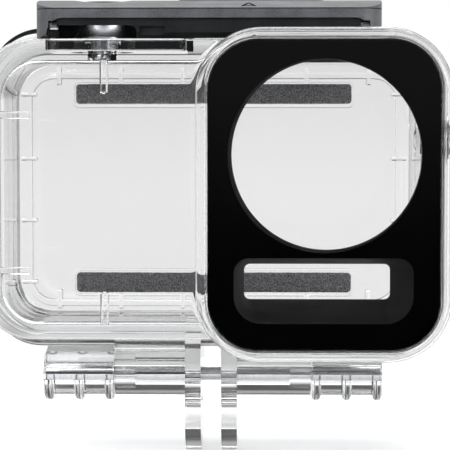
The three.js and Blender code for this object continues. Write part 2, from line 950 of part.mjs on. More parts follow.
function doorKnuckle(side) {
  const [x0, x1] = rangeOn(side, hinge.inner + play.beside, hingeEnd);
  const front = doorY + hinge.webInset;
  const rear = doorRearY - hinge.webSkin;
  const web = prism('x', polygon([
    [hinge.y - hinge.webFront / 2, pinZ + hinge.webFront],
    [front, -flangeZ],
    [front, -flangeZ + hinge.webGrip],
    [doorRearY - door.edge, -flangeZ + hinge.webGrip],
    [rear, -flangeZ + door.edge],
    [rear, -flangeZ],
    [hinge.y + hinge.webFront / 2, pinZ - hinge.webFront],
  ]), x0, x1);
  const first = hinge.inner + play.beside + hinge.ringWidth / 2;
  const last = hingeEnd - hinge.ringWidth / 2;
  const rings = [];
  for (let i = 0; i < hinge.ringCount; i += 1) {
    const middle = first + ((last - first) * i) / (hinge.ringCount - 1);
    const [r0, r1] = rangeOn(side, middle - hinge.ringWidth / 2, middle + hinge.ringWidth / 2);
    rings.push(barrel(hinge.ringRadius, r0, r1));
  }
  return join(barrel(hinge.barrel, x0, x1), web, ...rings);
}

function rearDoor() {
  const plate = prism('y', roundedRect(2 * flangeX, 2 * flangeZ, flange.corner), doorY, doorRearY,
    { edge: door.edge });
  const padFrames = [-padZ, padZ].map(padFrame);
  const wells = [-padZ, padZ].map(padWell);
  const reach = hingeEnd + overrun;
  const pinBore = barrel(hinge.pinRadius + play.turning, -reach, reach);
  const raised = join(plugRing(), ...doorRibs(), ...padFrames);
  const whole = join(plate, cut(raised, ...wells), ...mirrored(doorKnuckle));
  return cut(whole, gasketGroove(), pinBore);
}

function feltPad(z) {
  return prism('y', roundedRect(padLength, pad.height, pad.corner, 0, z), doorY - pad.thickness,
    doorY - play.bond / 2);
}

// Dark strip over the door's upper edge and round its two corners
function topRail() {
  const inner = play.bond / 2;
  const outer = rail.thickness;
  const ring = roundedRect(2 * (flangeX + outer), 2 * (flangeZ + outer), flange.corner + outer);
  ring.holes.push(roundedRect(2 * (flangeX + inner), 2 * (flangeZ + inner), flange.corner + inner));
  const band = prism('y', ring, doorY + rail.inset, doorRearY - rail.inset);
  const reach = flangeX + overrun;
  const lower = box([-reach, reach], [doorY - overrun, doorRearY + overrun],
    [-flangeZ - overrun, flangeZ - flange.corner]);
  return cut(band, lower);
}

place('rear_door', rearDoor(), clear);
place('door_gasket', gasketRing(), paleRubber);
place('upper_pad', feltPad(padZ), felt);
place('lower_pad', feltPad(-padZ), felt);
place('door_top_rail', topRail(), latchGrey);

// Latch frame, hinged at its front, with its hook over the door's rail

function latchSide() {
  const frontTop = tubTop + latch.frontHeight;
  const rearLow = railTop + latch.hookGap;
  const shape = new THREE.Shape();
  shape.moveTo(latch.frontY, pivotZ);
  shape.absarc(pivotY, pivotZ, latch.pivotInset, Math.PI, 1.5 * Math.PI, false);
  shape.lineTo(flangeFrontY - 2 * play.swing, tubTop + play.swing);
  shape.lineTo(flangeFrontY - 2 * play.swing, rearLow);
  shape.lineTo(latch.rearY, rearLow);
  shape.lineTo(latch.rearY, crownZ - latch.rearRound);
  shape.absarc(latch.rearY - latch.rearRound, crownZ - latch.rearRound, latch.rearRound, 0,
    Math.PI / 2, false);
  shape.lineTo(latch.crownY, crownZ);
  shape.quadraticCurveTo((latch.frontY + latch.crownY) / 2, crownZ, latch.frontY, frontTop);
  return prism('x', shape, latchLeft, latchRight);
}

function latchHollow() {
  const front = latch.frontY + latch.frontWall;
  const rear = latch.rearY - latch.rearWall;
  return prism('x', polygon([
    [front, tubTop - overrun],
    [rear, tubTop - overrun],
    [rear, roofZ],
    [latch.crownY, roofZ],
    [front, tubTop + latch.frontHeight - latch.frontRoof],
  ]), latchLeft + latch.endWall, latchRight - latch.endWall);
}

function latchFaceCutters() {
  const left = latchLeft + latch.endWall;
  const right = latchRight - latch.endWall;
  const low = tubTop - overrun;
  const bandZ = tubTop + latch.frontHeight - latchFace.bandHeight;
  const recessY = latch.frontY + latchFace.recess;
  const through = latch.frontY + latch.frontWall + play.swing;
  const outside = latch.frontY - overrun;
  const recess = prism('y', roundedRect(right - left, bandZ - low, latchFace.recessCorner,
    (left + right) / 2, (bandZ + low) / 2), outside, recessY);
  const windowTop = tubTop + latchFace.windowHeight;
  const windowLeft = left + play.swing;
  const windowRight = windowLeft + latchFace.windowWidth;
  const window = prism('y', roundedRect(latchFace.windowWidth, windowTop - low,
    latchFace.windowCorner, (windowLeft + windowRight) / 2, (windowTop + low) / 2), outside, through);
  const slotTop = bandZ - latchFace.slotBelowBand;
  const slotLeft = windowRight + latchFace.slotGap;
  const slot = box([slotLeft, slotLeft + latchFace.slotWidth],
    [outside, recessY + latchFace.slotDepth], [slotTop - latchFace.slotHeight, slotTop]);
  return [recess, window, slot];
}

function latchFrame() {
  const length = latch.rearY - latch.frontY;
  const middle = (latch.rearY + latch.frontY) / 2;
  const plan = prism('z', roundedRect(latchRight - latchLeft, length, latch.corner, latchX, middle),
    tubTop - overrun, crownZ + overrun);
  const block = latchSide().intersect(plan);
  const holeReach = [tubTop - overrun, crownZ + overrun];
  const capHole = prism('z', circle(shutter.holeRadius, shutterX, shutter.y), ...holeReach,
    { divisions: roundDivisions });
  const slotHalf = lock.stemWidth / 2 + play.beside;
  const stemY = lock.frontY + lock.stemInset;
  const slot = box([lockX - slotHalf, lockX + slotHalf],
    [stemY - play.beside, stemY + lock.stemLength + lock.travel + play.beside], holeReach);
  const pinBore = prism('x', circle(latch.pinRadius + play.turning, pivotY, pivotZ),
    latchLeft - overrun, latchRight + overrun, { divisions: roundDivisions });
  const room = lug.radius + play.swing + play.beside;
  const lugRoom = [lugLeftX, lugRightX].map((x) => box(
    [x - play.beside, x + lug.width + play.beside],
    [pivotY - room, pivotY + room],
    [tubTop - overrun, pivotZ + room],
  ));
  const lugNotches = [lugLeftX, lugRightX].map((x) => box(
    [x - play.beside, x + lug.width + play.beside],
    [latch.frontY - overrun, pivotY],
    [tubTop - overrun, pivotZ + lug.notchRise],
  ));
  return cut(block, latchHollow(), ...latchFaceCutters(), capHole, slot, pinBore, ...lugRoom,
    ...lugNotches);
}

function latchPin(side) {
  const outer = (latchRight - latchLeft) / 2 - play.beside;
  const inner = outer - latch.endWall - lug.width;
  const [x0, x1] = rangeOn(side, inner, outer);
  return prism('x', circle(latch.pinRadius, pivotY, pivotZ), latchX + x0, latchX + x1,
    { divisions: roundDivisions });
}

place('latch_frame', latchFrame(), latchGrey);
place('latch_pin_right', latchPin(1), steel);
place('latch_pin_left', latchPin(-1), steel);

// Sliding lock on the latch: slider with its stem, tongue under the roof, and its spring

function lockSlider() {
  const middle = lock.frontY + lock.length / 2;
  const low = crownZ + play.swing;
  const top = low + lock.height;
  const plate = prism('z', roundedRect(lock.width, lock.length, lock.corner, lockX, middle),
    low, top, { edge: lock.edge });
  const stemY = lock.frontY + lock.stemInset;
  const stemHalf = lock.stemWidth / 2;
  const stem = box([lockX - stemHalf, lockX + stemHalf],
    [stemY, stemY + lock.stemLength], [roofZ, low + lock.edge * 2]);
  const grips = [];
  for (let i = 0; i < lock.gripCount; i += 1) {
    const y = middle + (i - (lock.gripCount - 1) / 2) * lock.gripPitch;
    grips.push(box([lockX - lock.gripLength / 2, lockX + lock.gripLength / 2],
      [y - lock.gripWidth / 2, y + lock.gripWidth / 2], [top - lock.gripDepth, top + overrun]));
  }
  return cut(join(plate, stem), ...grips);
}

const tongueTop = roofZ - play.swing;
const tongueRearY = tongueFrontY + tongue.length;

function lockTongue() {
  const half = tongue.width / 2;
  return box([lockX - half, lockX + half], [tongueFrontY, tongueRearY],
    [tongueTop - tongue.thickness, tongueTop]);
}

function lockSpringAssembly() {
  const group = new THREE.Group();
  group.position.set(lockX, tongueRearY, tongueTop - tongue.thickness / 2);
  group.rotation.x = -Math.PI / 2;
  const room = latch.rearY - latch.rearWall - tongueRearY;
  const wound = spring('lock_spring', lockSpring.radius, lockSpring.wire, lockSpring.turns,
    play.bond, room - play.bond);
  place('lock_spring', wound, steel, group);
  housing.add(group);
}

place('lock_slider', lockSlider(), sliderGrey);
place('lock_tongue', lockTongue(), latchGrey);
lockSpringAssembly();

// Push button through a wall, built along Z from the wall's outer face

function pushButton(prefix, size, wall, group, capMaterial, collarMaterial) {
  const bore = size.plungerRadius + play.turning;
  const spigotEnd = -wall + size.clipPocket;
  const capLow = size.collarHeight + size.travel + button.reserve;
  const capTop = capLow + size.capHeight;
  const springRoom = size.springRadius + size.springWire / 2 + button.pocketGap;
  const sealMiddle = bore + size.sealSection;
  const grooveRadius = sealMiddle + size.sealSection + button.grooveGap;
  const grooveHalf = size.sealSection + button.grooveGap;
  const collar = turned([
    [bore, spigotEnd],
    [size.spigotRadius, spigotEnd],
    [size.spigotRadius, button.seatGap],
    [size.collarRadius, button.seatGap],
    [size.collarRadius, size.collarLand],
    [size.collarTopRadius, size.collarHeight],
    [springRoom, size.collarHeight],
    [springRoom, size.springFloor],
    [bore, size.springFloor],
    [bore, size.sealHeight + grooveHalf],
    [grooveRadius, size.sealHeight + grooveHalf],
    [grooveRadius, size.sealHeight - grooveHalf],
    [bore, size.sealHeight - grooveHalf],
    [bore, spigotEnd],
  ]);
  const clipTop = spigotEnd - button.seatGap;
  const clipLow = clipTop - size.clipThickness;
  const neck = size.plungerRadius - button.clipGroove;
  const plunger = turned([
    [0, -wall + button.tipInset],
    [size.plungerRadius, -wall + button.tipInset],
    [size.plungerRadius, clipLow - button.grooveGap],
    [neck, clipLow - button.grooveGap],
    [neck, clipTop + button.grooveGap],
    [size.plungerRadius, clipTop + button.grooveGap],
    [size.plungerRadius, capLow + button.socketDepth],
    [0, capLow + button.socketDepth],
  ]);
  const clip = turned([
    [neck + button.grooveGap, clipLow],
    [size.clipRadius, clipLow],
    [size.clipRadius, clipTop],
    [neck + button.grooveGap, clipTop],
    [neck + button.grooveGap, clipLow],
  ]);
  const socket = size.plungerRadius + play.bond / 2;
  const roof = capLow + button.socketDepth + play.bond / 2;
  const shoulder = size.capEdge * (1 - Math.SQRT1_2);
  const cap = turned([
    [socket, capLow],
    [size.capRadius, capLow],
    [size.capRadius, capTop - size.capEdge],
    [size.capRadius - shoulder, capTop - shoulder],
    [size.capRadius - size.capEdge, capTop],
    [0, capTop],
    [0, roof],
    [socket, roof],
    [socket, capLow],
  ]);
  const seal = solid(new THREE.TorusGeometry(sealMiddle, size.sealSection, sealSides, latheSteps));
  const wound = spring(`${prefix}_spring`, size.springRadius, size.springWire, size.springTurns,
    size.springFloor + play.bond, capLow - play.bond);
  place(`${prefix}_collar`, collar, collarMaterial, group);
  place(`${prefix}_cap`, cap, capMaterial, group);
  place(`${prefix}_plunger`, plunger, steel, group);
  place(`${prefix}_clip`, clip, steel, group);
  place(`${prefix}_spring`, wound, steel, group);
  place(`${prefix}_o_ring`, seal, blackRubber, group).position.z = size.sealHeight;
  housing.add(group);
}

const shutterGroup = new THREE.Group();
shutterGroup.position.set(shutterX, shutter.y, tubTop);
pushButton('shutter', shutter, tub.wallTop, shutterGroup, latchGrey, greyMetal);

const powerGroup = new THREE.Group();
powerGroup.position.set(tubX, power.y, power.z);
powerGroup.rotation.y = Math.PI / 2;
pushButton('power', power, tub.wallSide, powerGroup, greyMetal, greyMetal);

const group = new THREE.Group();
group.add(housing);

export default group;
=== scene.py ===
"""Dressed scene of a clear underwater camera housing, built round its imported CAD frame.

Each sub-assembly is a class that holds its sizes in millimetres, builds its meshes and dresses
them. X runs to the right seen from the lens side, Y to the rear and Z up. Sizes are drawn from the
middle of the case's rear flange, and each piece is set down in metres above the finger bolt.
"""

import json
import logging
import math
from dataclasses import dataclass, field
from enum import Enum
from typing import Callable, Iterable, Sequence

import bmesh
import bpy
from mathutils import Matrix, Vector, noise

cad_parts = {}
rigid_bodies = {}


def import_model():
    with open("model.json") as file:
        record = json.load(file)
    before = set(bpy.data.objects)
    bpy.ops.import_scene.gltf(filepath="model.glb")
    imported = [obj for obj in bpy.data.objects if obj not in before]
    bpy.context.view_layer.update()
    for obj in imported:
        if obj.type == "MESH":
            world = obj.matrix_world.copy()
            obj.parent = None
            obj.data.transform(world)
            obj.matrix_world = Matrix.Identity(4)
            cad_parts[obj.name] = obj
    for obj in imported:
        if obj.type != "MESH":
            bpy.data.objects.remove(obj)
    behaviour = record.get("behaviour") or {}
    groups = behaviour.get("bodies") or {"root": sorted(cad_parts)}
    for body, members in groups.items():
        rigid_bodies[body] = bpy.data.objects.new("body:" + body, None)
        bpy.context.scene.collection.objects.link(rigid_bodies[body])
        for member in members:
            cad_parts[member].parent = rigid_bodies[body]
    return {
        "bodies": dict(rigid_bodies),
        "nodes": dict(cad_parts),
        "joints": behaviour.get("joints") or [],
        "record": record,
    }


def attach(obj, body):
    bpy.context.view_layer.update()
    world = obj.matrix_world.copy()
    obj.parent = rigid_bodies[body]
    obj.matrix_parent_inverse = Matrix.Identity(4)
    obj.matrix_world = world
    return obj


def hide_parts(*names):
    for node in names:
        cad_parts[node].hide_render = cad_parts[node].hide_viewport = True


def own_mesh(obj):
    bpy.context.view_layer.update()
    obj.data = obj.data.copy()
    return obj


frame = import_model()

LOG = logging.getLogger("camera_housing")

Pair = tuple[float, float]
Point = tuple[float, float, float]
Plate = tuple[float, float, float]
Colour = tuple[float, float, float, float]
Fade = tuple[Pair, Pair]
Piece = bpy.types.Object
Node = bpy.types.Node
Tree = bpy.types.NodeTree
Socket = bpy.types.NodeSocket

# Socket types of the shader groups
FLOAT = "NodeSocketFloat"
COLOUR = "NodeSocketColor"

# One millimetre in metres, and the height of the flange's middle above the finger bolt
METRES = 0.001
LIFT = 38.3

# Least sizes that a mesh keeps, in millimetres
WELD = 0.0004
SLIVER = 0.002
LEAST_RADIUS = 0.02
LEAST_CORNER = 0.03

# How far cutters run past what they cut
SHORT_OVERRUN = 2.0
OVERRUN = 5.0
FAR_OVERRUN = 40.0
OUTSIDE = 60.0
BEHIND: Pair = (0.0, 30.0)

# Range of a mask
WHOLE: Pair = (0.0, 1.0)


# Drawing


class Across(Enum):
    """The axis that an outline is drawn across."""

    X = 0
    Y = 1
    Z = 2

    def point(self, u: float, v: float, along: float) -> Point:
        """Sets a drawn point down in space.

        Args:
            u: First coordinate in the drawing.
            v: Second coordinate in the drawing.
            along: Place along the axis.

        Returns:
            The point in X, Y and Z.
        """
        if self is Across.X:
            return (along, u, v)
        if self is Across.Y:
            return (u, along, v)
        return (u, v, along)

    def direction(self) -> Vector:
        """Returns the unit vector along the axis."""
        return Vector(self.point(0.0, 0.0, 1.0))


@dataclass(frozen=True)
class Outline:
    """A rectangle with four round corners."""

    width: float
    height: float
    corner: float
    u: float = 0.0
    v: float = 0.0
    lower_corner: float | None = None
    steps: int = 12
    straight: int = 1

    def points(self, inset: float = 0.0) -> list[Pair]:
        """Walks round the outline.

        Args:
            inset: How far inside the drawn outline to walk, negative for outside.

        Returns:
            As many points for any inset, so that outlines can be lofted.
        """
        lower = self.corner if self.lower_corner is None else self.lower_corner
        found: list[Pair] = []
        for k, (side_u, side_v, radius) in enumerate(
            ((1, -1, lower), (1, 1, self.corner), (-1, 1, self.corner), (-1, -1, lower))
        ):
            r = max(radius - inset, LEAST_CORNER)
            cu = self.u + side_u * (self.width / 2 - inset - r)
            cv = self.v + side_v * (self.height / 2 - inset - r)
            for i in range(self.steps + 1):
                angle = (k - 1 + i / self.steps) * math.pi / 2
                found.append((cu + r * math.cos(angle), cv + r * math.sin(angle)))
        if self.straight > 1:
            found = self._divided(found)
        return found

    def _divided(self, corners: list[Pair]) -> list[Pair]:
        """Adds points along the four straight sides."""
        turn = self.steps + 1
        found: list[Pair] = []
        for i, here in enumerate(corners):
            found.append(here)
            if (i + 1) % turn == 0:
                there = corners[(i + 1) % len(corners)]
                for j in range(1, self.straight):
                    t = j / self.straight
                    found.append((here[0] + (there[0] - here[0]) * t, here[1] + (there[1] - here[1]) * t))
        return found


@dataclass(frozen=True)
class Disc:
    """A circle."""

    radius: float
    u: float = 0.0
    v: float = 0.0
    steps: int = 64

    def points(self, inset: float = 0.0) -> list[Pair]:
        """Returns points round the circle, drawn in by the inset."""
        r = max(self.radius - inset, LEAST_RADIUS)
        turns = [2 * math.pi * i / self.steps for i in range(self.steps)]
        return [(self.u + r * math.cos(a), self.v + r * math.sin(a)) for a in turns]


@dataclass(frozen=True)
class Profile:
    """A drawn polygon."""

    corners: tuple[Pair, ...]

    def points(self, inset: float = 0.0) -> list[Pair]:
        """Returns the corners as drawn, whatever the inset."""
        return list(self.corners)


Drawing = Outline | Disc | Profile


def quarter(steps: int) -> list[float]:
    """Returns angles from zero to a quarter turn, both ends included."""
    return [math.pi / 2 * i / steps for i in range(steps + 1)]


def rectangle(u: Pair, v: Pair) -> list[Pair]:
    """Returns the corners of a rectangle between the given reaches."""
    return [(u[0], v[0]), (u[1], v[0]), (u[1], v[1]), (u[0], v[1])]


def wall_section(width: float, root: float, tip: float) -> list[Pair]:
    """Returns the section of a wall that stands inside an outline, from its root to its tip."""
    return [(0.0, root), (0.0, tip), (width, tip), (width, root)]


def arc(centre: Pair, radius: float, start: float, end: float, steps: int) -> list[Pair]:
    """Returns points on an arc between two angles in degrees, both ends included."""
    turns = [math.radians(start + (end - start) * i / steps) for i in range(steps + 1)]
    return [(centre[0] + radius * math.cos(a), centre[1] + radius * math.sin(a)) for a in turns]


def eased(corners: Sequence[Pair], radius: float, steps: int = 3, closed: bool = True) -> list[Pair]:
    """Rounds the corners of a polygon.

    Args:
        corners: The polygon's corners in order.
        radius: How far from each corner the rounding starts, held to a third of each side.
        steps: Segments in each rounded corner.
        closed: Whether the last corner joins the first.

    Returns:
        The points of the rounded polygon.
    """
    found: list[Pair] = []
    count = len(corners)
    for i, here in enumerate(corners):
        if not closed and i in (0, count - 1):
            found.append(here)
            continue
        at = Vector(here)
        before = Vector(corners[i - 1]) - at
        after = Vector(corners[(i + 1) % count]) - at
        reach = min(radius, before.length / 3, after.length / 3)
        start = at + before.normalized() * reach
        end = at + after.normalized() * reach
        for j in range(steps + 1):
            t = j / steps
            bent = start * (1 - t) ** 2 + at * (2 * t * (1 - t)) + end * t**2
            found.append((bent.x, bent.y))
    return found


# Meshes


def finished_mesh(work: bmesh.types.BMesh, name: str) -> bpy.types.Mesh:
    """Turns a worked mesh into a named one and frees the work."""
    mesh = bpy.data.meshes.new(name)
    work.to_mesh(mesh)
    work.free()
    return mesh


@dataclass
class Solid:
    """A closed mesh in millimetres that is joined and cut with others before it is placed."""

    mesh: bpy.types.Mesh

    @classmethod
    def lofted(cls, rings: Sequence[Sequence[Point]], closed: bool = False) -> "Solid":
        """Makes a skin through rings of points.

        Args:
            rings: Rings with the same number of points.
            closed: Whether the last ring joins the first, and no end is capped.

        Returns:
            The closed solid.
        """
        work = bmesh.new()
        loops = [[work.verts.new(p) for p in ring] for ring in rings]
        after = loops[1:] + loops[:1] if closed else loops[1:]
        for near, far in zip(loops, after):
            for i, here in enumerate(near):
                j = (i + 1) % len(near)
                work.faces.new((here, near[j], far[j], far[i]))
        if not closed:
            work.faces.new(list(reversed(loops[0])))
            work.faces.new(loops[-1])
        bmesh.ops.remove_doubles(work, verts=work.verts, dist=WELD)
        bmesh.ops.recalc_face_normals(work, faces=work.faces)
        return cls(finished_mesh(work, "solid"))

    @classmethod
    def slab(
        cls,
        drawing: Drawing,
        low: float,
        high: float,
        axis: Across = Across.Y,
        low_edge: float = 0.0,
        high_edge: float = 0.0,
        divisions: int = 6,
    ) -> "Solid":
        """Carries a drawing along an axis, with rounded edges at its ends.

        Args:
            drawing: The outline to carry.
            low: Where it starts along the axis.
            high: Where it ends.
            axis: The axis that it is drawn across.
            low_edge: Radius of the rounded edge at the start.
            high_edge: Radius of the rounded edge at the end.
            divisions: Segments in each rounded edge.

        Returns:
            The solid.
        """
        stations: list[Pair] = []
        turns = quarter(divisions)
        for a in turns if low_edge else turns[-1:]:
            stations.append((low + low_edge * (1 - math.cos(a)), low_edge * (1 - math.sin(a))))
        for a in reversed(turns) if high_edge else turns[-1:]:
            stations.append((high - high_edge * (1 - math.cos(a)), high_edge * (1 - math.sin(a))))
        rings = [[axis.point(u, v, along) for u, v in drawing.points(inset)] for along, inset in stations]
        return cls.lofted(rings)

    @classmethod
    def band(cls, drawing: Drawing, section: Sequence[Pair]) -> "Solid":
        """Carries a section round an outline that is drawn across Y.

        Args:
            drawing: The outline to follow.
            section: Points of (inset, place along Y) round the section.

        Returns:
            A ring with that section.
        """
        rings = [[(u, along, v) for u, v in drawing.points(inset)] for inset, along in section]
        return cls.lofted(rings, closed=True)

    @classmethod
    def turned(
        cls,
        profile: Sequence[Pair],
        centre: Point,
        axis: Across,
        closed: bool = False,
        steps: int = 64,
    ) -> "Solid":
        """Turns a profile round an axis.

        Args:
            profile: Points of (radius, height along the axis).
            centre: Where height zero is on the axis.
            axis: The axis to turn round.
            closed: Whether the profile is a closed loop, which makes a ring.
            steps: Segments round the axis.

        Returns:
            The turned solid.
        """
        rings = []
        for radius, height in profile:
            r = max(radius, LEAST_RADIUS)
            ring = []
            for i in range(steps):
                a = 2 * math.pi * i / steps
                local = axis.point(r * math.cos(a), r * math.sin(a), height)
                ring.append(tuple(c + d for c, d in zip(centre, local)))
            rings.append(ring)
        return cls.lofted(rings, closed)

    @classmethod
    def wound(
        cls, radius: float, wire: float, turns: float, low: float, high: float, centre: Point, axis: Across
    ) -> "Solid":
        """Winds a compression spring with closed ends.

        Args:
            radius: Radius of the winding to the wire's middle.
            wire: The wire's thickness.
            turns: Number of turns.
            low: Start of the spring along the axis.
            high: End of the spring.
            centre: Where zero is on the axis.
            axis: The axis that it is wound round.

        Returns:
            The spring.
        """
        per_turn = 28
        sides = 10
        flat_ends = 0.045
        steps = int(turns * per_turn)
        half = wire / 2
        rings = []
        for i in range(steps + 1):
            t = i / steps
            rise = t - flat_ends * math.sin(2 * math.pi * t)
            height = low + half + (high - low - wire) * min(max(rise, 0.0), 1.0)
            a = 2 * math.pi * i / per_turn
            ring = []
            for j in range(sides):
                b = 2 * math.pi * j / sides
                out = radius + half * math.cos(b)
                local = axis.point(out * math.cos(a), out * math.sin(a), height + half * math.sin(b))
                ring.append(tuple(c + d for c, d in zip(centre, local)))
            rings.append(ring)
        return cls.lofted(rings)

    def _combined(self, others: Iterable["Solid"], operation: str) -> "Solid":
        """Runs one boolean after another and returns the result as a new solid."""
        scene = bpy.context.scene.collection
        holder = bpy.data.objects.new("work", self.mesh)
        scene.objects.link(holder)
        partners = []
        for other in others:
            partner = bpy.data.objects.new("partner", other.mesh)
            scene.objects.link(partner)
            partners.append(partner)
            step = holder.modifiers.new("boolean", "BOOLEAN")
            step.operation = operation
            step.solver = "MANIFOLD"
            step.object = partner
        return self._applied(holder, *partners)

    @staticmethod
    def _applied(holder: Piece, *partners: Piece) -> "Solid":
        """Applies an object's modifiers, then removes it and its partners."""
        graph = bpy.context.evaluated_depsgraph_get()
        graph.update()
        mesh = bpy.data.meshes.new_from_object(holder.evaluated_get(graph))
        for temporary in (holder, *partners):
            bpy.data.objects.remove(temporary)
        return Solid(mesh)

    def joined(self, *others: "Solid") -> "Solid":
        """Returns this solid fused with the others."""
        return self._combined(others, "UNION")

    def cut(self, *others: "Solid") -> "Solid":
        """Returns this solid with the others taken out."""
        return self._combined(others, "DIFFERENCE")

    def common(self, *others: "Solid") -> "Solid":
        """Returns what this solid shares with the others."""
        return self._combined(others, "INTERSECT")

    def cleaned(self) -> "Solid":
        """Returns this solid with slivers and the seams in its flat faces taken out."""
        flat_angle = 0.4
        work = bmesh.new()
        work.from_mesh(self.mesh)
        bmesh.ops.remove_doubles(work, verts=work.verts, dist=SLIVER)
        bmesh.ops.dissolve_degenerate(work, dist=SLIVER, edges=work.edges)
        bmesh.ops.dissolve_limit(
            work,
            angle_limit=math.radians(flat_angle),
            use_dissolve_boundaries=False,
            verts=work.verts,
            edges=work.edges,
            delimit={"NORMAL"},
        )
        return Solid(finished_mesh(work, "solid"))

    def softened(self, width: float, segments: int, angle: float) -> "Solid":
        """Rounds the sharp edges.

        Args:
            width: Width of the rounding.
            segments: Segments across it.
            angle: Least angle, in degrees, of an edge that is rounded.

        Returns:
            The rounded solid.
        """
        holder = bpy.data.objects.new("work", self.cleaned().mesh)
        bpy.context.scene.collection.objects.link(holder)
        rounding = holder.modifiers.new("edges", "BEVEL")
        rounding.width = width
        rounding.segments = segments
        rounding.limit_method = "ANGLE"
        rounding.angle_limit = math.radians(angle)
        rounding.use_clamp_overlap = True
        return self._applied(holder)

    def roughened(self, depth: float, scale: float) -> "Solid":
        """Moves each point a little along its normal, for a fibrous surface.

        Args:
            depth: Largest move in millimetres.
            scale: Number of ripples in a millimetre.

        Returns:
            This solid.
        """
        falloff, gap, octaves = 0.8, 2.1, 3
        work = bmesh.new()
        work.from_mesh(self.mesh)
        work.normal_update()
        for vert in work.verts:
            vert.co += vert.normal * depth * noise.fractal(vert.co * scale, falloff, gap, octaves)
        work.to_mesh(self.mesh)
        work.free()
        return self


def box(x: Pair, y: Pair, z: Pair) -> Solid:
    """Returns a block between the given reaches."""
    drawing = Outline(y[1] - y[0], z[1] - z[0], LEAST_CORNER, sum(y) / 2, sum(z) / 2, steps=1)
    return Solid.slab(drawing, *x, Across.X)


class Body(Enum):
    """The CAD bodies that pieces ride on."""

    HOUSING = "housing"
    DOOR = "door"
    LATCH = "latch"
    LOCK = "lock"
    SHUTTER = "shutter_button"
    POWER = "power_button"


class Slot(Enum):
    """The record's material slots."""

    CASE = "clear_case"
    DOOR = "clear_door"
    GLASS = "window_glass"
    GLOSS_BLACK = "gloss_black"
    MATT_BLACK = "matt_black"
    LATCH = "latch_grey"
    SLIDER = "slider_grey"
    FELT = "felt"
    PALE_RUBBER = "pale_rubber"
    BLACK_RUBBER = "black_rubber"
    STEEL = "steel"
    GREY_METAL = "grey_metal"


def retextured(piece: Piece, finish: "Finish", chosen: Callable[[Vector], bool]) -> None:
    """Gives some faces of a piece a second finish.

    Args:
        piece: The placed piece.
        finish: The second finish.
        chosen: Says from a face's middle, in the drawings' millimetres, if it gets the finish.
    """
    piece.data.materials.append(finish.material())
    last = len(piece.data.materials) - 1
    for face in piece.data.polygons:
        if chosen(face.center / METRES - Vector((0.0, 0.0, LIFT))):
            face.material_index = last


def set_down(
    solid: Solid,
    name: str,
    body: Body,
    finish: "Finish",
    nodes: Sequence[str],
    sharp: float = 30.0,
) -> Piece:
    """Turns a solid into a piece of the scene.

    Args:
        solid: The finished solid in millimetres.
        name: The piece's name.
        body: The CAD body that it rides on.
        finish: Its finish.
        nodes: CAD nodes that it stands for.
        sharp: Edges above this angle, in degrees, stay sharp.

    Returns:
        The placed object.
    """
    mesh = solid.mesh
    mesh.name = name
    to_metres = Matrix.Diagonal((METRES, METRES, METRES, 1.0))
    mesh.transform(to_metres @ Matrix.Translation((0.0, 0.0, LIFT)))
    mesh.shade_smooth()
    mesh.set_sharp_from_angle(angle=math.radians(sharp))
    mesh.materials.clear()
    mesh.materials.append(finish.material())
    piece = bpy.data.objects.new(name, mesh)
    bpy.context.scene.collection.objects.link(piece)
    even = piece.modifiers.new("even_normals", "WEIGHTED_NORMAL")
    even.keep_sharp = True
    even.weight = 60
    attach(piece, body.value)
    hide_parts(*nodes)
    return piece


# Shader groups


def linear(code: str) -> Colour:
    """Returns a screen colour such as #5f6062 as linear red, green, blue and alpha."""
    found = []
    for i in (1, 3, 5):
        value = int(code[i : i + 2], 16) / 255
        found.append(value / 12.92 if value <= 0.04045 else ((value + 0.055) / 1.055) ** 2.4)
    return (found[0], found[1], found[2], 1.0)


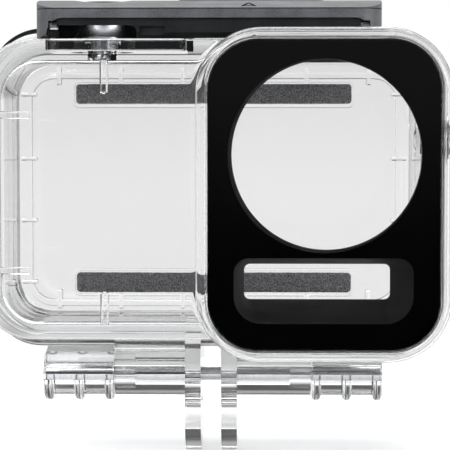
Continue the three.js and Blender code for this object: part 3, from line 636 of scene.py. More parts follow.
class Wiring:
    """Short calls for the nodes and links of one node tree."""

    def __init__(self, tree: Tree) -> None:
        """Keeps the tree that nodes are added to."""
        self.tree = tree

    def node(self, kind: str, **values: object) -> Node:
        """Adds a node.

        Args:
            kind: The node's type name.
            values: Properties of the node, set as they are named.

        Returns:
            The new node.
        """
        made = self.tree.nodes.new(kind)
        for key, value in values.items():
            setattr(made, key, value)
        return made

    def link(self, source: Socket, target: Socket) -> None:
        """Joins two sockets."""
        self.tree.links.new(source, target)

    def feed(self, socket: Socket, value: object) -> None:
        """Sets an input to a value, or joins it to a socket."""
        if isinstance(value, Socket):
            self.link(value, socket)
        else:
            socket.default_value = value

    def math(self, operation: str, *values: object) -> Socket:
        """Adds a math node.

        Args:
            operation: The node's operation.
            values: One to three sockets or numbers to work on.

        Returns:
            The socket with the result.
        """
        made = self.node("ShaderNodeMath", operation=operation)
        for socket, value in zip(made.inputs, values):
            self.feed(socket, value)
        return made.outputs[0]

    def ranged(self, value: Socket, reach: Pair, result: Pair = WHOLE) -> Socket:
        """Maps a value from one range to another, eased and held at its ends.

        Args:
            value: The socket to map.
            reach: Where its range starts and ends.
            result: What the two ends become.

        Returns:
            The socket with the mapped value.
        """
        made = self.node("ShaderNodeMapRange", interpolation_type="SMOOTHSTEP")
        self.link(value, made.inputs["Value"])
        for name, number in zip(("From Min", "From Max", "To Min", "To Max"), (*reach, *result)):
            made.inputs[name].default_value = number
        return made.outputs["Result"]

    def place(self) -> Socket:
        """Adds a texture coordinate and returns the place on the piece."""
        return self.node("ShaderNodeTexCoord").outputs["Object"]

    def noise(self, vector: Socket, scale: object, detail: float = 2.0) -> Socket:
        """Adds a noise texture.

        Args:
            vector: Where it is read.
            scale: Its scale, a socket or a number.
            detail: How many finer layers it has.

        Returns:
            The socket with its value.
        """
        made = self.node("ShaderNodeTexNoise")
        self.link(vector, made.inputs["Vector"])
        self.feed(made.inputs["Scale"], scale)
        made.inputs["Detail"].default_value = detail
        return made.outputs[0]

    def mixed(self, factor: Socket, first: object, second: object) -> Socket:
        """Mixes two colours.

        Args:
            factor: Share of the second colour.
            first: A colour, or a socket.
            second: A colour, or a socket.

        Returns:
            The socket with the mixed colour.
        """
        made = self.node("ShaderNodeMix", data_type="RGBA")
        for place, value in ((0, factor), (6, first), (7, second)):
            self.feed(made.inputs[place], value)
        return made.outputs[2]


class Effects:
    """Shader groups that several finishes share, each built once."""

    _made: dict[str, Tree] = {}

    @classmethod
    def _group(
        cls,
        name: str,
        inputs: Sequence[tuple[str, str, object]],
        outputs: Sequence[tuple[str, str]],
        fill: Callable[[Wiring, Node, Node], None],
    ) -> Tree:
        """Makes a group, or returns the one already made.

        Args:
            name: The group's name.
            inputs: Name, socket type and default of each input.
            outputs: Name and socket type of each output.
            fill: Adds the nodes between the group's input and output nodes.

        Returns:
            The node group.
        """
        if name in cls._made:
            return cls._made[name]
        tree = bpy.data.node_groups.new(name, "ShaderNodeTree")
        for label, kind, value in inputs:
            socket = tree.interface.new_socket(label, in_out="INPUT", socket_type=kind)
            socket.default_value = value
        for label, kind in outputs:
            tree.interface.new_socket(label, in_out="OUTPUT", socket_type=kind)
        wiring = Wiring(tree)
        fill(wiring, wiring.node("NodeGroupInput"), wiring.node("NodeGroupOutput"))
        cls._made[name] = tree
        return tree

    @classmethod
    def grain(cls) -> Tree:
        """Fine moulded grain: a height for Bump and a mask that varies with it."""

        def fill(w: Wiring, start: Node, end: Node) -> None:
            """Wires the grain."""
            place = w.place()
            cells = w.node("ShaderNodeTexVoronoi", feature="SMOOTH_F1")
            w.link(place, cells.inputs["Vector"])
            w.link(start.outputs["Scale"], cells.inputs["Scale"])
            cloud = w.noise(place, w.math("MULTIPLY", start.outputs["Scale"], 0.6), 3.0)
            w.link(w.math("MULTIPLY_ADD", cloud, 0.6, cells.outputs["Distance"]), end.inputs["Height"])
            w.link(w.ranged(cloud, (0.3, 0.7)), end.inputs["Mask"])

        return cls._group(
            "moulded_grain",
            (("Scale", FLOAT, 4000.0),),
            (("Height", FLOAT), ("Mask", FLOAT)),
            fill,
        )

    @classmethod
    def handling(cls) -> Tree:
        """Marks of handling: soft smudges and fine hairlines as a roughness and a mask."""

        def fill(w: Wiring, start: Node, end: Node) -> None:
            """Wires the marks."""
            place = w.place()
            stretch = w.node("ShaderNodeMapping")
            stretch.inputs["Rotation"].default_value = (0.4, 0.7, 0.5)
            stretch.inputs["Scale"].default_value = (1.0, 30.0, 1.0)
            w.link(place, stretch.inputs["Vector"])
            soft = w.ranged(w.noise(place, 55.0, 4.0), (0.35, 0.7))
            fine = w.ranged(w.noise(stretch.outputs["Vector"], 90.0, 5.0), (0.6, 0.75))
            mask = w.math("MINIMUM", w.math("MULTIPLY_ADD", fine, 0.45, soft), 1.0)
            spread = w.math("MULTIPLY", mask, start.outputs["Spread"])
            w.link(w.math("ADD", spread, start.outputs["Roughness"]), end.inputs["Roughness"])
            w.link(mask, end.inputs["Mask"])

        return cls._group(
            "handling_marks",
            (("Roughness", FLOAT, 0.4), ("Spread", FLOAT, 0.1)),
            (("Roughness", FLOAT), ("Mask", FLOAT)),
            fill,
        )

    @classmethod
    def edge_wear(cls) -> Tree:
        """Rubbed edges: a mask that is high on worn outer edges."""

        def fill(w: Wiring, start: Node, end: Node) -> None:
            """Wires the wear."""
            shape = w.node("ShaderNodeNewGeometry")
            edge = w.ranged(shape.outputs["Pointiness"], (0.505, 0.56))
            patch = w.ranged(w.noise(w.place(), 260.0, 4.0), (0.4, 0.62), (0.25, 1.0))
            worn = w.math("MULTIPLY", edge, patch)
            w.link(w.math("MULTIPLY", worn, start.outputs["Amount"]), end.inputs["Mask"])

        return cls._group("edge_wear", (("Amount", FLOAT, 0.5),), (("Mask", FLOAT),), fill)

    @classmethod
    def pile(cls) -> Tree:
        """Short felt pile: mottled colour and a fibrous height."""

        def fill(w: Wiring, start: Node, end: Node) -> None:
            """Wires the pile."""
            place = w.place()
            stretch = w.node("ShaderNodeMapping")
            stretch.inputs["Scale"].default_value = (1.0, 1.0, 0.6)
            w.link(place, stretch.inputs["Vector"])
            fibre = w.noise(stretch.outputs["Vector"], start.outputs["Scale"])
            fibre.node.inputs["Roughness"].default_value = 0.7
            strands = w.math("MULTIPLY", fibre, 0.85)
            tone = w.ranged(w.math("MULTIPLY_ADD", w.noise(place, 900.0), 0.15, strands), (0.4, 0.62))
            w.link(w.mixed(tone, start.outputs["Dark"], start.outputs["Light"]), end.inputs["Color"])
            w.link(fibre, end.inputs["Height"])

        return cls._group(
            "felt_pile",
            (
                ("Scale", FLOAT, 2600.0),
                ("Dark", COLOUR, linear("#3c3c3e")),
                ("Light", COLOUR, linear("#6a6a6c")),
            ),
            (("Color", COLOUR), ("Height", FLOAT)),
            fill,
        )

    @classmethod
    def tooling(cls) -> Tree:
        """Turning marks left by a lathe: a height in fine bands along one axis."""

        def fill(w: Wiring, start: Node, end: Node) -> None:
            """Wires the bands."""
            stretch = w.node("ShaderNodeMapping")
            w.link(w.place(), stretch.inputs["Vector"])
            w.link(start.outputs["Stretch"], stretch.inputs["Scale"])
            band = w.noise(stretch.outputs["Vector"], 300.0, 4.0)
            w.link(band, end.inputs["Height"])
            w.link(w.ranged(band, (0.3, 0.7)), end.inputs["Mask"])

        return cls._group(
            "tooling_marks",
            (("Stretch", "NodeSocketVector", (1.0, 1.0, 1.0)),),
            (("Height", FLOAT), ("Mask", FLOAT)),
            fill,
        )


# Finishes


class Finish:
    """What all finishes share: a named material built on the first call."""

    name: str

    def material(self) -> bpy.types.Material:
        """Returns the finish's material, built once."""
        found = bpy.data.materials.get(self.name)
        if found:
            return found
        made = bpy.data.materials.new(self.name)
        made.use_nodes = True
        wiring = Wiring(made.node_tree)
        shader = made.node_tree.nodes["Principled BSDF"]
        self.wire(wiring, shader)
        return made

    def wire(self, w: Wiring, shader: Node) -> None:
        """Sets the shader's values and joins its textures; each finish has its own."""
        raise NotImplementedError

    @staticmethod
    def effect(w: Wiring, tree: Tree, **values: object) -> Node:
        """Places a shared group in a material.

        Args:
            w: The material's wiring.
            tree: The shared group.
            values: What the group's named inputs are set to.

        Returns:
            The group's node.
        """
        made = w.node("ShaderNodeGroup", node_tree=tree)
        for label, value in values.items():
            made.inputs[label].default_value = value
        return made

    @staticmethod
    def bumped(w: Wiring, shader: Node, height: Socket, depth: float, strength: float) -> None:
        """Joins a height to the shader's normal.

        Args:
            w: The material's wiring.
            shader: The shader to bump.
            height: Height from a texture.
            depth: How deep a height of one is, in metres.
            strength: Share of the bump that shows.
        """
        bump = w.node("ShaderNodeBump")
        bump.inputs["Strength"].default_value = strength
        bump.inputs["Distance"].default_value = depth
        w.link(height, bump.inputs["Height"])
        w.link(bump.outputs["Normal"], shader.inputs["Normal"])


@dataclass(frozen=True)
class ClearPlastic(Finish):
    """Polished clear polycarbonate whose colour darkens where it is seen along its surface: painted shade
    that draws its edges.
    """

    name: str
    face: str = "#fdfdfd"
    grazing_shade: str = "#ced1d3"
    fall: float = 3.5
    ior: float = 1.585
    roughness: float = 0.012
    ripple: float = 0.00002
    clear: float = 1.0

    def wire(self, w: Wiring, shader: Node) -> None:
        """Joins the painted shade at grazing angles, the handling marks and the faint flow of the moulding.
        """
        shader.inputs["IOR"].default_value = self.ior
        shader.inputs["Transmission Weight"].default_value = self.clear
        view = w.node("ShaderNodeLayerWeight")
        view.inputs["Blend"].default_value = 0.5
        # Painted shade: the colour turns to the grazing colour where the surface is seen edge-on
        along = w.math("POWER", view.outputs["Facing"], self.fall)
        w.link(w.mixed(along, linear(self.face), linear(self.grazing_shade)), shader.inputs["Base Color"])
        marks = self.effect(w, Effects.handling(), Roughness=self.roughness, Spread=0.02)
        w.link(marks.outputs["Roughness"], shader.inputs["Roughness"])
        self.bumped(w, shader, w.noise(w.place(), 140.0, 1.5), self.ripple, 0.5)


@dataclass(frozen=True)
class MouldedPlastic(Finish):
    """Opaque moulded plastic with a fine grain, rubbed edges and marks of handling."""

    name: str
    colour: str
    shade: str
    worn: str
    roughness: float = 0.42
    spread: float = 0.14
    scale: float = 5200.0
    depth: float = 0.00002
    wear: float = 0.35
    specular: float = 0.5

    def wire(self, w: Wiring, shader: Node) -> None:
        """Joins the grain, the handling marks and the worn edges."""
        grain = self.effect(w, Effects.grain(), Scale=self.scale)
        marks = self.effect(w, Effects.handling(), Roughness=self.roughness, Spread=self.spread)
        edges = self.effect(w, Effects.edge_wear(), Amount=self.wear)
        grained = w.math("MULTIPLY", grain.outputs["Mask"], 0.6)
        body = w.mixed(grained, linear(self.colour), linear(self.shade))
        w.link(w.mixed(edges.outputs["Mask"], body, linear(self.worn)), shader.inputs["Base Color"])
        w.link(marks.outputs["Roughness"], shader.inputs["Roughness"])
        shader.inputs["Specular IOR Level"].default_value = self.specular
        self.bumped(w, shader, grain.outputs["Height"], self.depth, 0.6)


@dataclass(frozen=True)
class GlossPlate(Finish):
    """Gloss black film with a deep even surface and a trace of orange peel."""

    name: str
    colour: str
    haze: str
    roughness: float = 0.06
    specular: float = 0.0

    def wire(self, w: Wiring, shader: Node) -> None:
        """Joins the haze, the handling marks and the soft ripple."""
        shader.inputs["Specular IOR Level"].default_value = self.specular
        marks = self.effect(w, Effects.handling(), Roughness=self.roughness, Spread=0.05)
        hazy = w.math("MULTIPLY", marks.outputs["Mask"], 0.5)
        w.link(w.mixed(hazy, linear(self.colour), linear(self.haze)), shader.inputs["Base Color"])
        w.link(marks.outputs["Roughness"], shader.inputs["Roughness"])
        grain = self.effect(w, Effects.grain(), Scale=900.0)
        self.bumped(w, shader, grain.outputs["Height"], 0.000004, 0.3)


@dataclass(frozen=True)
class Felt(Finish):
    """Short dense pile with a mottled colour and a soft sheen."""

    name: str
    dark: str = "#414143"
    light: str = "#98989a"
    scale: float = 5200.0

    def wire(self, w: Wiring, shader: Node) -> None:
        """Joins the pile's colour and height."""
        tones = {"Dark": linear(self.dark), "Light": linear(self.light)}
        pile = self.effect(w, Effects.pile(), Scale=self.scale, **tones)
        w.link(pile.outputs["Color"], shader.inputs["Base Color"])
        shader.inputs["Roughness"].default_value = 0.95
        shader.inputs["Sheen Weight"].default_value = 0.25
        shader.inputs["Sheen Roughness"].default_value = 0.6
        self.bumped(w, shader, pile.outputs["Height"], 0.00018, 0.8)


@dataclass(frozen=True)
class Rubber(Finish):
    """Soft rubber with a faint bloom."""

    name: str
    colour: str
    bloom: str
    roughness: float = 0.55
    clear: float = 0.0

    def wire(self, w: Wiring, shader: Node) -> None:
        """Joins the bloom and the fine grain."""
        grain = self.effect(w, Effects.grain(), Scale=3500.0)
        marks = self.effect(w, Effects.handling(), Roughness=self.roughness, Spread=0.12)
        tone = w.mixed(marks.outputs["Mask"], linear(self.colour), linear(self.bloom))
        w.link(tone, shader.inputs["Base Color"])
        w.link(marks.outputs["Roughness"], shader.inputs["Roughness"])
        shader.inputs["Transmission Weight"].default_value = self.clear
        self.bumped(w, shader, grain.outputs["Height"], 0.00001, 0.5)


@dataclass(frozen=True)
class TurnedMetal(Finish):
    """Metal with the fine bands that a lathe leaves."""

    name: str
    colour: str
    dark: str
    stretch: Point
    roughness: float = 0.2
    rubbed: str = "#d9dadc"
    depth: float = 0.000008

    def wire(self, w: Wiring, shader: Node) -> None:
        """Joins the tooling marks, the handling marks and the rubbed edges."""
        bands = self.effect(w, Effects.tooling(), Stretch=self.stretch)
        marks = self.effect(w, Effects.handling(), Roughness=self.roughness, Spread=0.1)
        edges = self.effect(w, Effects.edge_wear(), Amount=0.5)
        banded = w.math("MULTIPLY", bands.outputs["Mask"], 0.7)
        tone = w.mixed(banded, linear(self.colour), linear(self.dark))
        w.link(w.mixed(edges.outputs["Mask"], tone, linear(self.rubbed)), shader.inputs["Base Color"])
        w.link(marks.outputs["Roughness"], shader.inputs["Roughness"])
        shader.inputs["Metallic"].default_value = 1.0
        self.bumped(w, shader, bands.outputs["Height"], self.depth, 0.6)


# The grazing colour of each clear finish is painted shade on its edges
CASE_FINISH = ClearPlastic("clear_case_plastic")
DOOR_FINISH = ClearPlastic("clear_door_plastic", grazing_shade="#d2d4d6")
TEXTURED_FINISH = ClearPlastic(
    "clear_textured_plastic", face="#f0f1f1", grazing_shade="#c8cacb", roughness=0.45, clear=0.5
)
PANE_FINISH = ClearPlastic("window_pane_glass", grazing_shade="#a8abad", ior=1.52, roughness=0.004, ripple=0.000004)
MASK_FINISH = GlossPlate("gloss_black_mask", "#040405", "#08080a")
HOOD_FINISH = MouldedPlastic(
    "matt_black_hood", "#17191b", "#222427", "#3a3c3f", roughness=0.62, wear=0.3, specular=0.25
)
RING_FINISH = MouldedPlastic(
    "matt_black_ring", "#1b1c1f", "#25262a", "#45474b", roughness=0.5, wear=0.3, specular=0.3
)
LATCH_FINISH = MouldedPlastic(
    "latch_plastic", "#3a3b3e", "#606164", "#737478", roughness=0.44, spread=0.06, scale=6800.0
)
# Darker plastic: painted shade in the latch's recess and under its roof, and the own colour of the door's
# dark rail
RECESS_SHADE_AND_RAIL_FINISH = MouldedPlastic(
    "dark_rail_and_painted_recess_shade_plastic", "#111316", "#191c20", "#2a2d30", roughness=0.55, specular=0.2
)
SLIDER_FINISH = MouldedPlastic("slider_plastic", "#aeaba8", "#b9b6b3", "#cfcdca", roughness=0.4)
FELT_FINISH = Felt("felt_pile_grey")
SEAL_FINISH = Rubber("pale_seal_rubber", "#f4f6f7", "#fbfcfc", roughness=0.3, clear=0.93)
GASKET_FINISH = Rubber("black_gasket_rubber", "#141517", "#1f2123")
STEEL_X = TurnedMetal("ground_steel_pin", "#dcdddf", "#babcbf", (40.0, 1.0, 1.0), roughness=0.09)
STEEL_Z = TurnedMetal("ground_steel_plunger", "#c4c6c9", "#a2a5a9", (1.0, 1.0, 40.0), roughness=0.18)
# Pivot steel coloured dark: painted shade where the pins sit inside the latch
PIVOT_SHADE_FINISH = TurnedMetal("pivot_steel_darkened_as_painted_shade", "#2c2d2f", "#1f2022", (40.0, 1.0, 1.0), roughness=0.35)
SPRING_STEEL = TurnedMetal("spring_wire_steel", "#b4b6ba", "#94979b", (6.0, 6.0, 6.0), roughness=0.24)
COLLAR_FINISH = TurnedMetal("anodised_collar_metal", "#b9bbbf", "#85888d", (30.0, 30.0, 1.0), roughness=0.2)
CAP_FINISH = MouldedPlastic("button_cap_plastic", "#4a4c4f", "#56585b", "#77797c", roughness=0.38)


# Sub-assemblies


@dataclass(frozen=True)
class Layout:
    """Places and sizes that the sub-assemblies share, in millimetres."""

    cavity_x: float = 35.6
    cavity_z: float = 22.45
    cavity_corner: float = 6.45
    cavity_front: float = -11.6
    tub_front: float = -14.0
    tub_x: float = 38.7
    tub_top: float = 26.0
    tub_bottom: float = -24.8
    flange_x: float = 40.7
    flange_z: float = 28.6
    flange_corner: float = 9.5
    flange_front: float = 8.0
    flange_rear: float = 13.0
    door_front: float = 13.3
    door_rear: float = 17.0
    turret_x: float = 18.8
    turret_z: float = 0.15
    turret_front: float = -28.0
    ledge: float = -24.35
    pin_y: float = 8.0
    pin_z: float = -33.5
    pin_radius: float = 1.25
    pin_gap: float = 0.05
    barrel: float = 3.9
    frost_below_pin: float = 0.5
    frost_behind_pin: float = 0.4
    frost_below_flange: float = 0.2
    pivot_y: float = -6.3
    pivot_z: float = 28.9
    pivot_bore: float = 0.85
    lug_left: float = -27.55
    lug_right: float = 25.75
    lug_width: float = 1.3
    lock_x: float = 6.85
    shutter_x: float = -18.8
    shutter_wall: float = 3.55
    power_z: float = 9.0
    power_wall: float = 3.1

    def turret(self, width: float, height: float, corner: float) -> Outline:
        """Returns an outline round the middle of the turret."""
        return Outline(width, height, corner, self.turret_x, self.turret_z, steps=18)

    def cavity(self, grow: float = 0.0) -> Outline:
        """Returns the cavity's outline, grown on all sides."""
        width = 2 * (self.cavity_x + grow)
        height = 2 * (self.cavity_z + grow)
        return Outline(width, height, self.cavity_corner + grow, steps=16)

    def flange(self, inset: float = 0.0, steps: int = 16) -> Outline:
        """Returns the outline that the flange and the door share, drawn in by the inset."""
        width = 2 * (self.flange_x - inset)
        height = 2 * (self.flange_z - inset)
        return Outline(width, height, self.flange_corner - inset, steps=steps)

    def barrel_drawing(self, radius: float) -> Disc:
        """Returns a circle round the hinge pin, drawn across X."""
        return Disc(radius, self.pin_y, self.pin_z)

    def pin_bore(self) -> Solid:
        """Returns the cutter for the hinge pin's bore."""
        drawing = self.barrel_drawing(self.pin_radius + self.pin_gap)
        return Solid.slab(drawing, -FAR_OVERRUN, FAR_OVERRUN, Across.X)

    def frosted(self, middle: Vector) -> bool:
        """Says if a face's middle is on the textured back of a knuckle."""
        low = self.pin_z - self.frost_below_pin
        high = -self.flange_z - self.frost_below_flange
        return low < middle.z < high and middle.y > self.pin_y + self.frost_behind_pin


@dataclass
class ClearCase:
    """The clear moulded case: tub, flange, lens turret, guide ribs, lugs, knuckles and fingers."""

    layout: Layout
    edge: float = 0.2
    least_angle: float = 38.0
    root: float = 1.0
    tub_corner: float = 8.6
    front_edge: float = 0.5
    inner_edge: float = 0.8
    flange_edge: float = 0.7
    rail_step: float = 0.45
    turret_size: Plate = (41.5, 54.1, 10.7)
    turret_edge: float = 1.5
    skirt: float = 1.5
    mouth_edge: float = 0.4
    seat_size: Plate = (37.9, 50.5, 8.2)
    well_size: Plate = (35.3, 46.7, 6.9)
    pocket_floor: float = 24.0
    pocket_x: Pair = (-27.9, -4.0)
    pocket_y: Pair = (-11.5, 7.9)
    boss_radius: float = 5.4
    post_size: Plate = (1.4, 2.2, 0.62)
    post_x: float = -17.9
    post_z: Pair = (16.75, 23.6)
    bar_size: Plate = (1.6, 1.2, 0.25)
    bar_x: Pair = (-36.8, -30.5)
    bar_z: float = 13.2
    lug_half: float = 1.0
    lug_radius: float = 1.4
    keeper_half: float = 3.5
    keeper_y: Pair = (0.4, 2.9)
    keeper_top: float = 31.5
    shutter_bore: Pair = (2.55, -2.25)
    power_bore: Pair = (3.35, -2.0)
    clip_room: float = 2.6
    finger_inner: float = 1.76
    finger_outer: float = 4.49
    finger_radius: float = 7.5
    bolt_radius: float = 2.5
    knuckle_end: float = 17.65
    web_half: float = 3.4
    web_rear: float = 4.6
    web_front: float = 0.6
    groove_z: Pair = (-28.4, -30.15)
    groove_fall: Pair = (0.4, 0.75)
    groove_depth: float = 0.45
    block_start: float = 13.9
    block_low: float = 2.2
    block_high: float = 4.0
    block_rear: float = 2.0
    notch_z: Point = (-30.4, -32.0, -32.3)
    notch_depth: float = 1.5

    def _tub_drawing(self, margin: float = 0.0) -> Outline:
        """Returns the tub's outline, made smaller by the margin each way."""
        at = self.layout
        height = at.tub_top - at.tub_bottom - margin
        middle = (at.tub_top + at.tub_bottom) / 2
        return Outline(2 * at.tub_x - margin, height, self.tub_corner, 0.0, middle, steps=16)

    def _tub(self) -> Solid:
        """Returns the tub's block with its rounded front edge."""
        at = self.layout
        rear = at.flange_rear - 0.7
        return Solid.slab(self._tub_drawing(), at.tub_front, rear, low_edge=self.front_edge, divisions=8)

    def _flange(self) -> Solid:
        """Returns the rear flange, stepped in a little above, where the door's dark rail shows past it."""
        at = self.layout
        split = at.flange_z - at.flange_corner
        halves = []
        for inset, low, high in ((0.0, -OUTSIDE, split), (self.rail_step, split - 0.05, OUTSIDE)):
            plate = Solid.slab(
                at.flange(inset), at.flange_front, at.flange_rear,
                low_edge=self.flange_edge, high_edge=self.flange_edge / 2, divisions=4,
            )
            halves.append(plate.common(box((-OUTSIDE, OUTSIDE), BEHIND, (low, high))))
        return halves[0].joined(halves[1])

    def _turret(self) -> Solid:
        """Returns the turret's block, with the fillet where it leaves the tub."""
        at = self.layout
        drawing = at.turret(*self.turret_size)
        inner_end = at.tub_front + 3.0
        tower = Solid.slab(drawing, at.turret_front, inner_end, low_edge=self.turret_edge)
        rings = []
        for a in quarter(6):
            out = self.skirt * (1 - math.cos(a))
            along = at.tub_front - self.skirt * (1 - math.sin(a))
            rings.append([(u, along, v) for u, v in drawing.points(-out)])
        rings.append([(u, at.tub_front + self.root, v) for u, v in drawing.points(-self.skirt)])
        limit = Solid.slab(self._tub_drawing(0.6), at.tub_front - OVERRUN, at.tub_front + SHORT_OVERRUN)
        return tower.joined(Solid.lofted(rings).common(limit))

    def _hollows(self) -> list[Solid]:
        """Returns the cutters for the cavity, the window's seat and the well behind it."""
        at = self.layout
        outside = at.flange_rear + OVERRUN
        chamber = Solid.slab(at.cavity(), at.cavity_front, outside, low_edge=self.inner_edge, divisions=8)
        stations = [(-self.mouth_edge, at.turret_front - SHORT_OVERRUN)]
        for a in quarter(5):
            along = at.turret_front + self.mouth_edge * (1 - math.cos(a))
            stations.append((-self.mouth_edge * (1 - math.sin(a)), along))
        stations.append((0.0, at.ledge))
        drawing = at.turret(*self.seat_size)
        seat = Solid.lofted([[(u, y, v) for u, v in drawing.points(inset)] for inset, y in stations])
        well = Solid.slab(at.turret(*self.well_size), at.ledge - OVERRUN, at.cavity_front + SHORT_OVERRUN)
        return [chamber, seat, well]

    def _pocket(self) -> Solid:
        """Returns the cutter for the pocket under the latch, which leaves the button's boss."""
        at = self.layout
        width = self.pocket_x[1] - self.pocket_x[0]
        depth = self.pocket_y[1] - self.pocket_y[0]
        plan = Outline(
            width, depth, 1.2, sum(self.pocket_x) / 2, sum(self.pocket_y) / 2, steps=6
        )
        top = at.tub_top + 4.0
        pocket = Solid.slab(plan, self.pocket_floor, top, Across.Z, low_edge=0.3, divisions=4)
        drawing = Disc(self.boss_radius, at.shutter_x, 0.0, 96)
        return pocket.cut(Solid.slab(drawing, at.tub_top - OVERRUN, top + SHORT_OVERRUN, Across.Z))

    def _ribs(self) -> list[Solid]:
        """Returns the guide ribs on the front wall: two posts and two bars."""
        at = self.layout
        post = Outline(*self.post_size, self.post_x, at.cavity_front, steps=8)
        near, far = self.post_z
        ribs = [Solid.slab(post, *reach, Across.Z, 0.45, 0.45) for reach in ((near, far), (-far, -near))]
        for side in (-1, 1):
            bar = Outline(*self.bar_size, at.cavity_front, side * self.bar_z, steps=6)
            ribs.append(Solid.slab(bar, *self.bar_x, Across.X, 0.2, 0.2))
        return ribs

    def _lugs(self) -> tuple[list[Solid], list[Solid]]:
        """Returns the latch's two lugs with the keeper post, and the bores through the lugs."""
        at = self.layout
        raised = []
        bores = []
        depth = (at.pivot_y - self.lug_half, at.pivot_y + self.lug_half)
        for x in (at.lug_left, at.lug_right):
            reach = (x, x + at.lug_width)
            raised.append(box(reach, depth, (at.tub_top - 2.7, at.pivot_z)))
            raised.append(Solid.slab(Disc(self.lug_radius, at.pivot_y, at.pivot_z, 40), *reach, Across.X))
            bore = Disc(at.pivot_bore, at.pivot_y, at.pivot_z, 32)
            bores.append(Solid.slab(bore, x - SHORT_OVERRUN, x + 2 * SHORT_OVERRUN, Across.X))
        reach = (at.lock_x - self.keeper_half, at.lock_x + self.keeper_half)
        raised.append(box(reach, self.keeper_y, (at.tub_top - 1.5, self.keeper_top)))
        return raised, bores

    def _button_bores(self) -> list[Solid]:
        """Returns the cutters for the two buttons' bores and clip pockets."""
        at = self.layout
        bores = []
        for (radius, floor), wall, centre, axis in (
            (self.shutter_bore, at.shutter_wall, (at.shutter_x, 0.0, at.tub_top), Across.Z),
            (self.power_bore, at.power_wall, (at.tub_x, 0.0, at.power_z), Across.X),
        ):
            clip_end = (self.clip_room, -wall - 3.0)
            profile = [clip_end, (self.clip_room, floor), (radius, floor), (radius, 4.0)]
            bores.append(Solid.turned(profile, centre, axis))
        return bores

    def _blade(self) -> Profile:
        """Returns a finger's side view: two straight sides down to a half circle round the bolt."""
        top = self.layout.tub_bottom + self.root
        half_round = arc((0.0, -LIFT), self.finger_radius, 180, 360, 32)
        return Profile((*half_round, (self.finger_radius, top), (-self.finger_radius, top)))

    def _web(self) -> Profile:
        """Returns the side view of the web over a knuckle, with two fine grooves in its front."""
        at = self.layout
        face = at.pin_y - self.web_half
        front = at.flange_front - self.web_front
        inside = at.tub_bottom + self.root
        shelf = -at.flange_z + self.root
        corners = [
            (face, at.pin_z), (at.pin_y + self.web_half, at.pin_z), (at.pin_y + self.web_rear, shelf),
            (front, shelf), (front, inside), (face, inside),
        ]
        to_bottom, to_end = self.groove_fall
        for z in self.groove_z:
            corners += [(face, z), (face + self.groove_depth, z - to_bottom), (face, z - to_end)]
        return Profile(tuple(corners))

    def _stop(self) -> Profile:
        """Returns the side view of the block at a knuckle's outer end, notched in its front."""
        at = self.layout
        face = at.pin_y - at.barrel
        rear = at.pin_y + self.block_rear
        low = at.pin_z - self.block_low
        high = at.pin_z + self.block_high
        start, bottom, end = self.notch_z
        return Profile((
            (face, low), (rear, low), (rear, high), (face, high),
            (face, start), (face + self.notch_depth, bottom), (face, end),
        ))

    def _fingers(self) -> tuple[list[Solid], list[Solid]]:
        """Returns the fingers and knuckles under the case, and the bores through them."""
        at = self.layout
        parts = []
        for side in (1, -1):
            finger = sorted((side * self.finger_inner, side * self.finger_outer))
            knuckle = sorted((side * self.finger_inner, side * self.knuckle_end))
            block = sorted((side * self.block_start, side * self.knuckle_end))
            parts.append(Solid.slab(self._blade(), *finger, Across.X))
            parts.append(Solid.slab(at.barrel_drawing(at.barrel), *knuckle, Across.X))
            parts.append(Solid.slab(self._web(), *knuckle, Across.X))
            parts.append(Solid.slab(self._stop(), *block, Across.X))
        bolt = Solid.slab(Disc(self.bolt_radius, 0.0, -LIFT), -FAR_OVERRUN, FAR_OVERRUN, Across.X)
        return parts, [at.pin_bore(), bolt]

    def build(self) -> list[Piece]:
        """Builds the case as one moulding.

        Returns:
            The pieces.
        """
        raised, lug_bores = self._lugs()
        parts, bores = self._fingers()
        block = self._tub().joined(self._flange(), self._turret())
        hollow = block.cut(*self._hollows(), self._pocket()).joined(*self._ribs(), *raised, *parts)
        whole = hollow.cut(*self._button_bores(), *lug_bores, *bores)
        rounded = whole.softened(self.edge, 2, self.least_angle)
        nodes = ("body_shell", "keeper_post", "mount_finger_right", "mount_finger_left")
        case = set_down(rounded, "clear_case_moulding", Body.HOUSING, CASE_FINISH, nodes)

        def textured(middle: Vector) -> bool:
            """Says if a face is on a knuckle's textured back, beside the fingers."""
            return self.layout.frosted(middle) and abs(middle.x) > self.finger_outer

        retextured(case, TEXTURED_FINISH, textured)
        return [case]


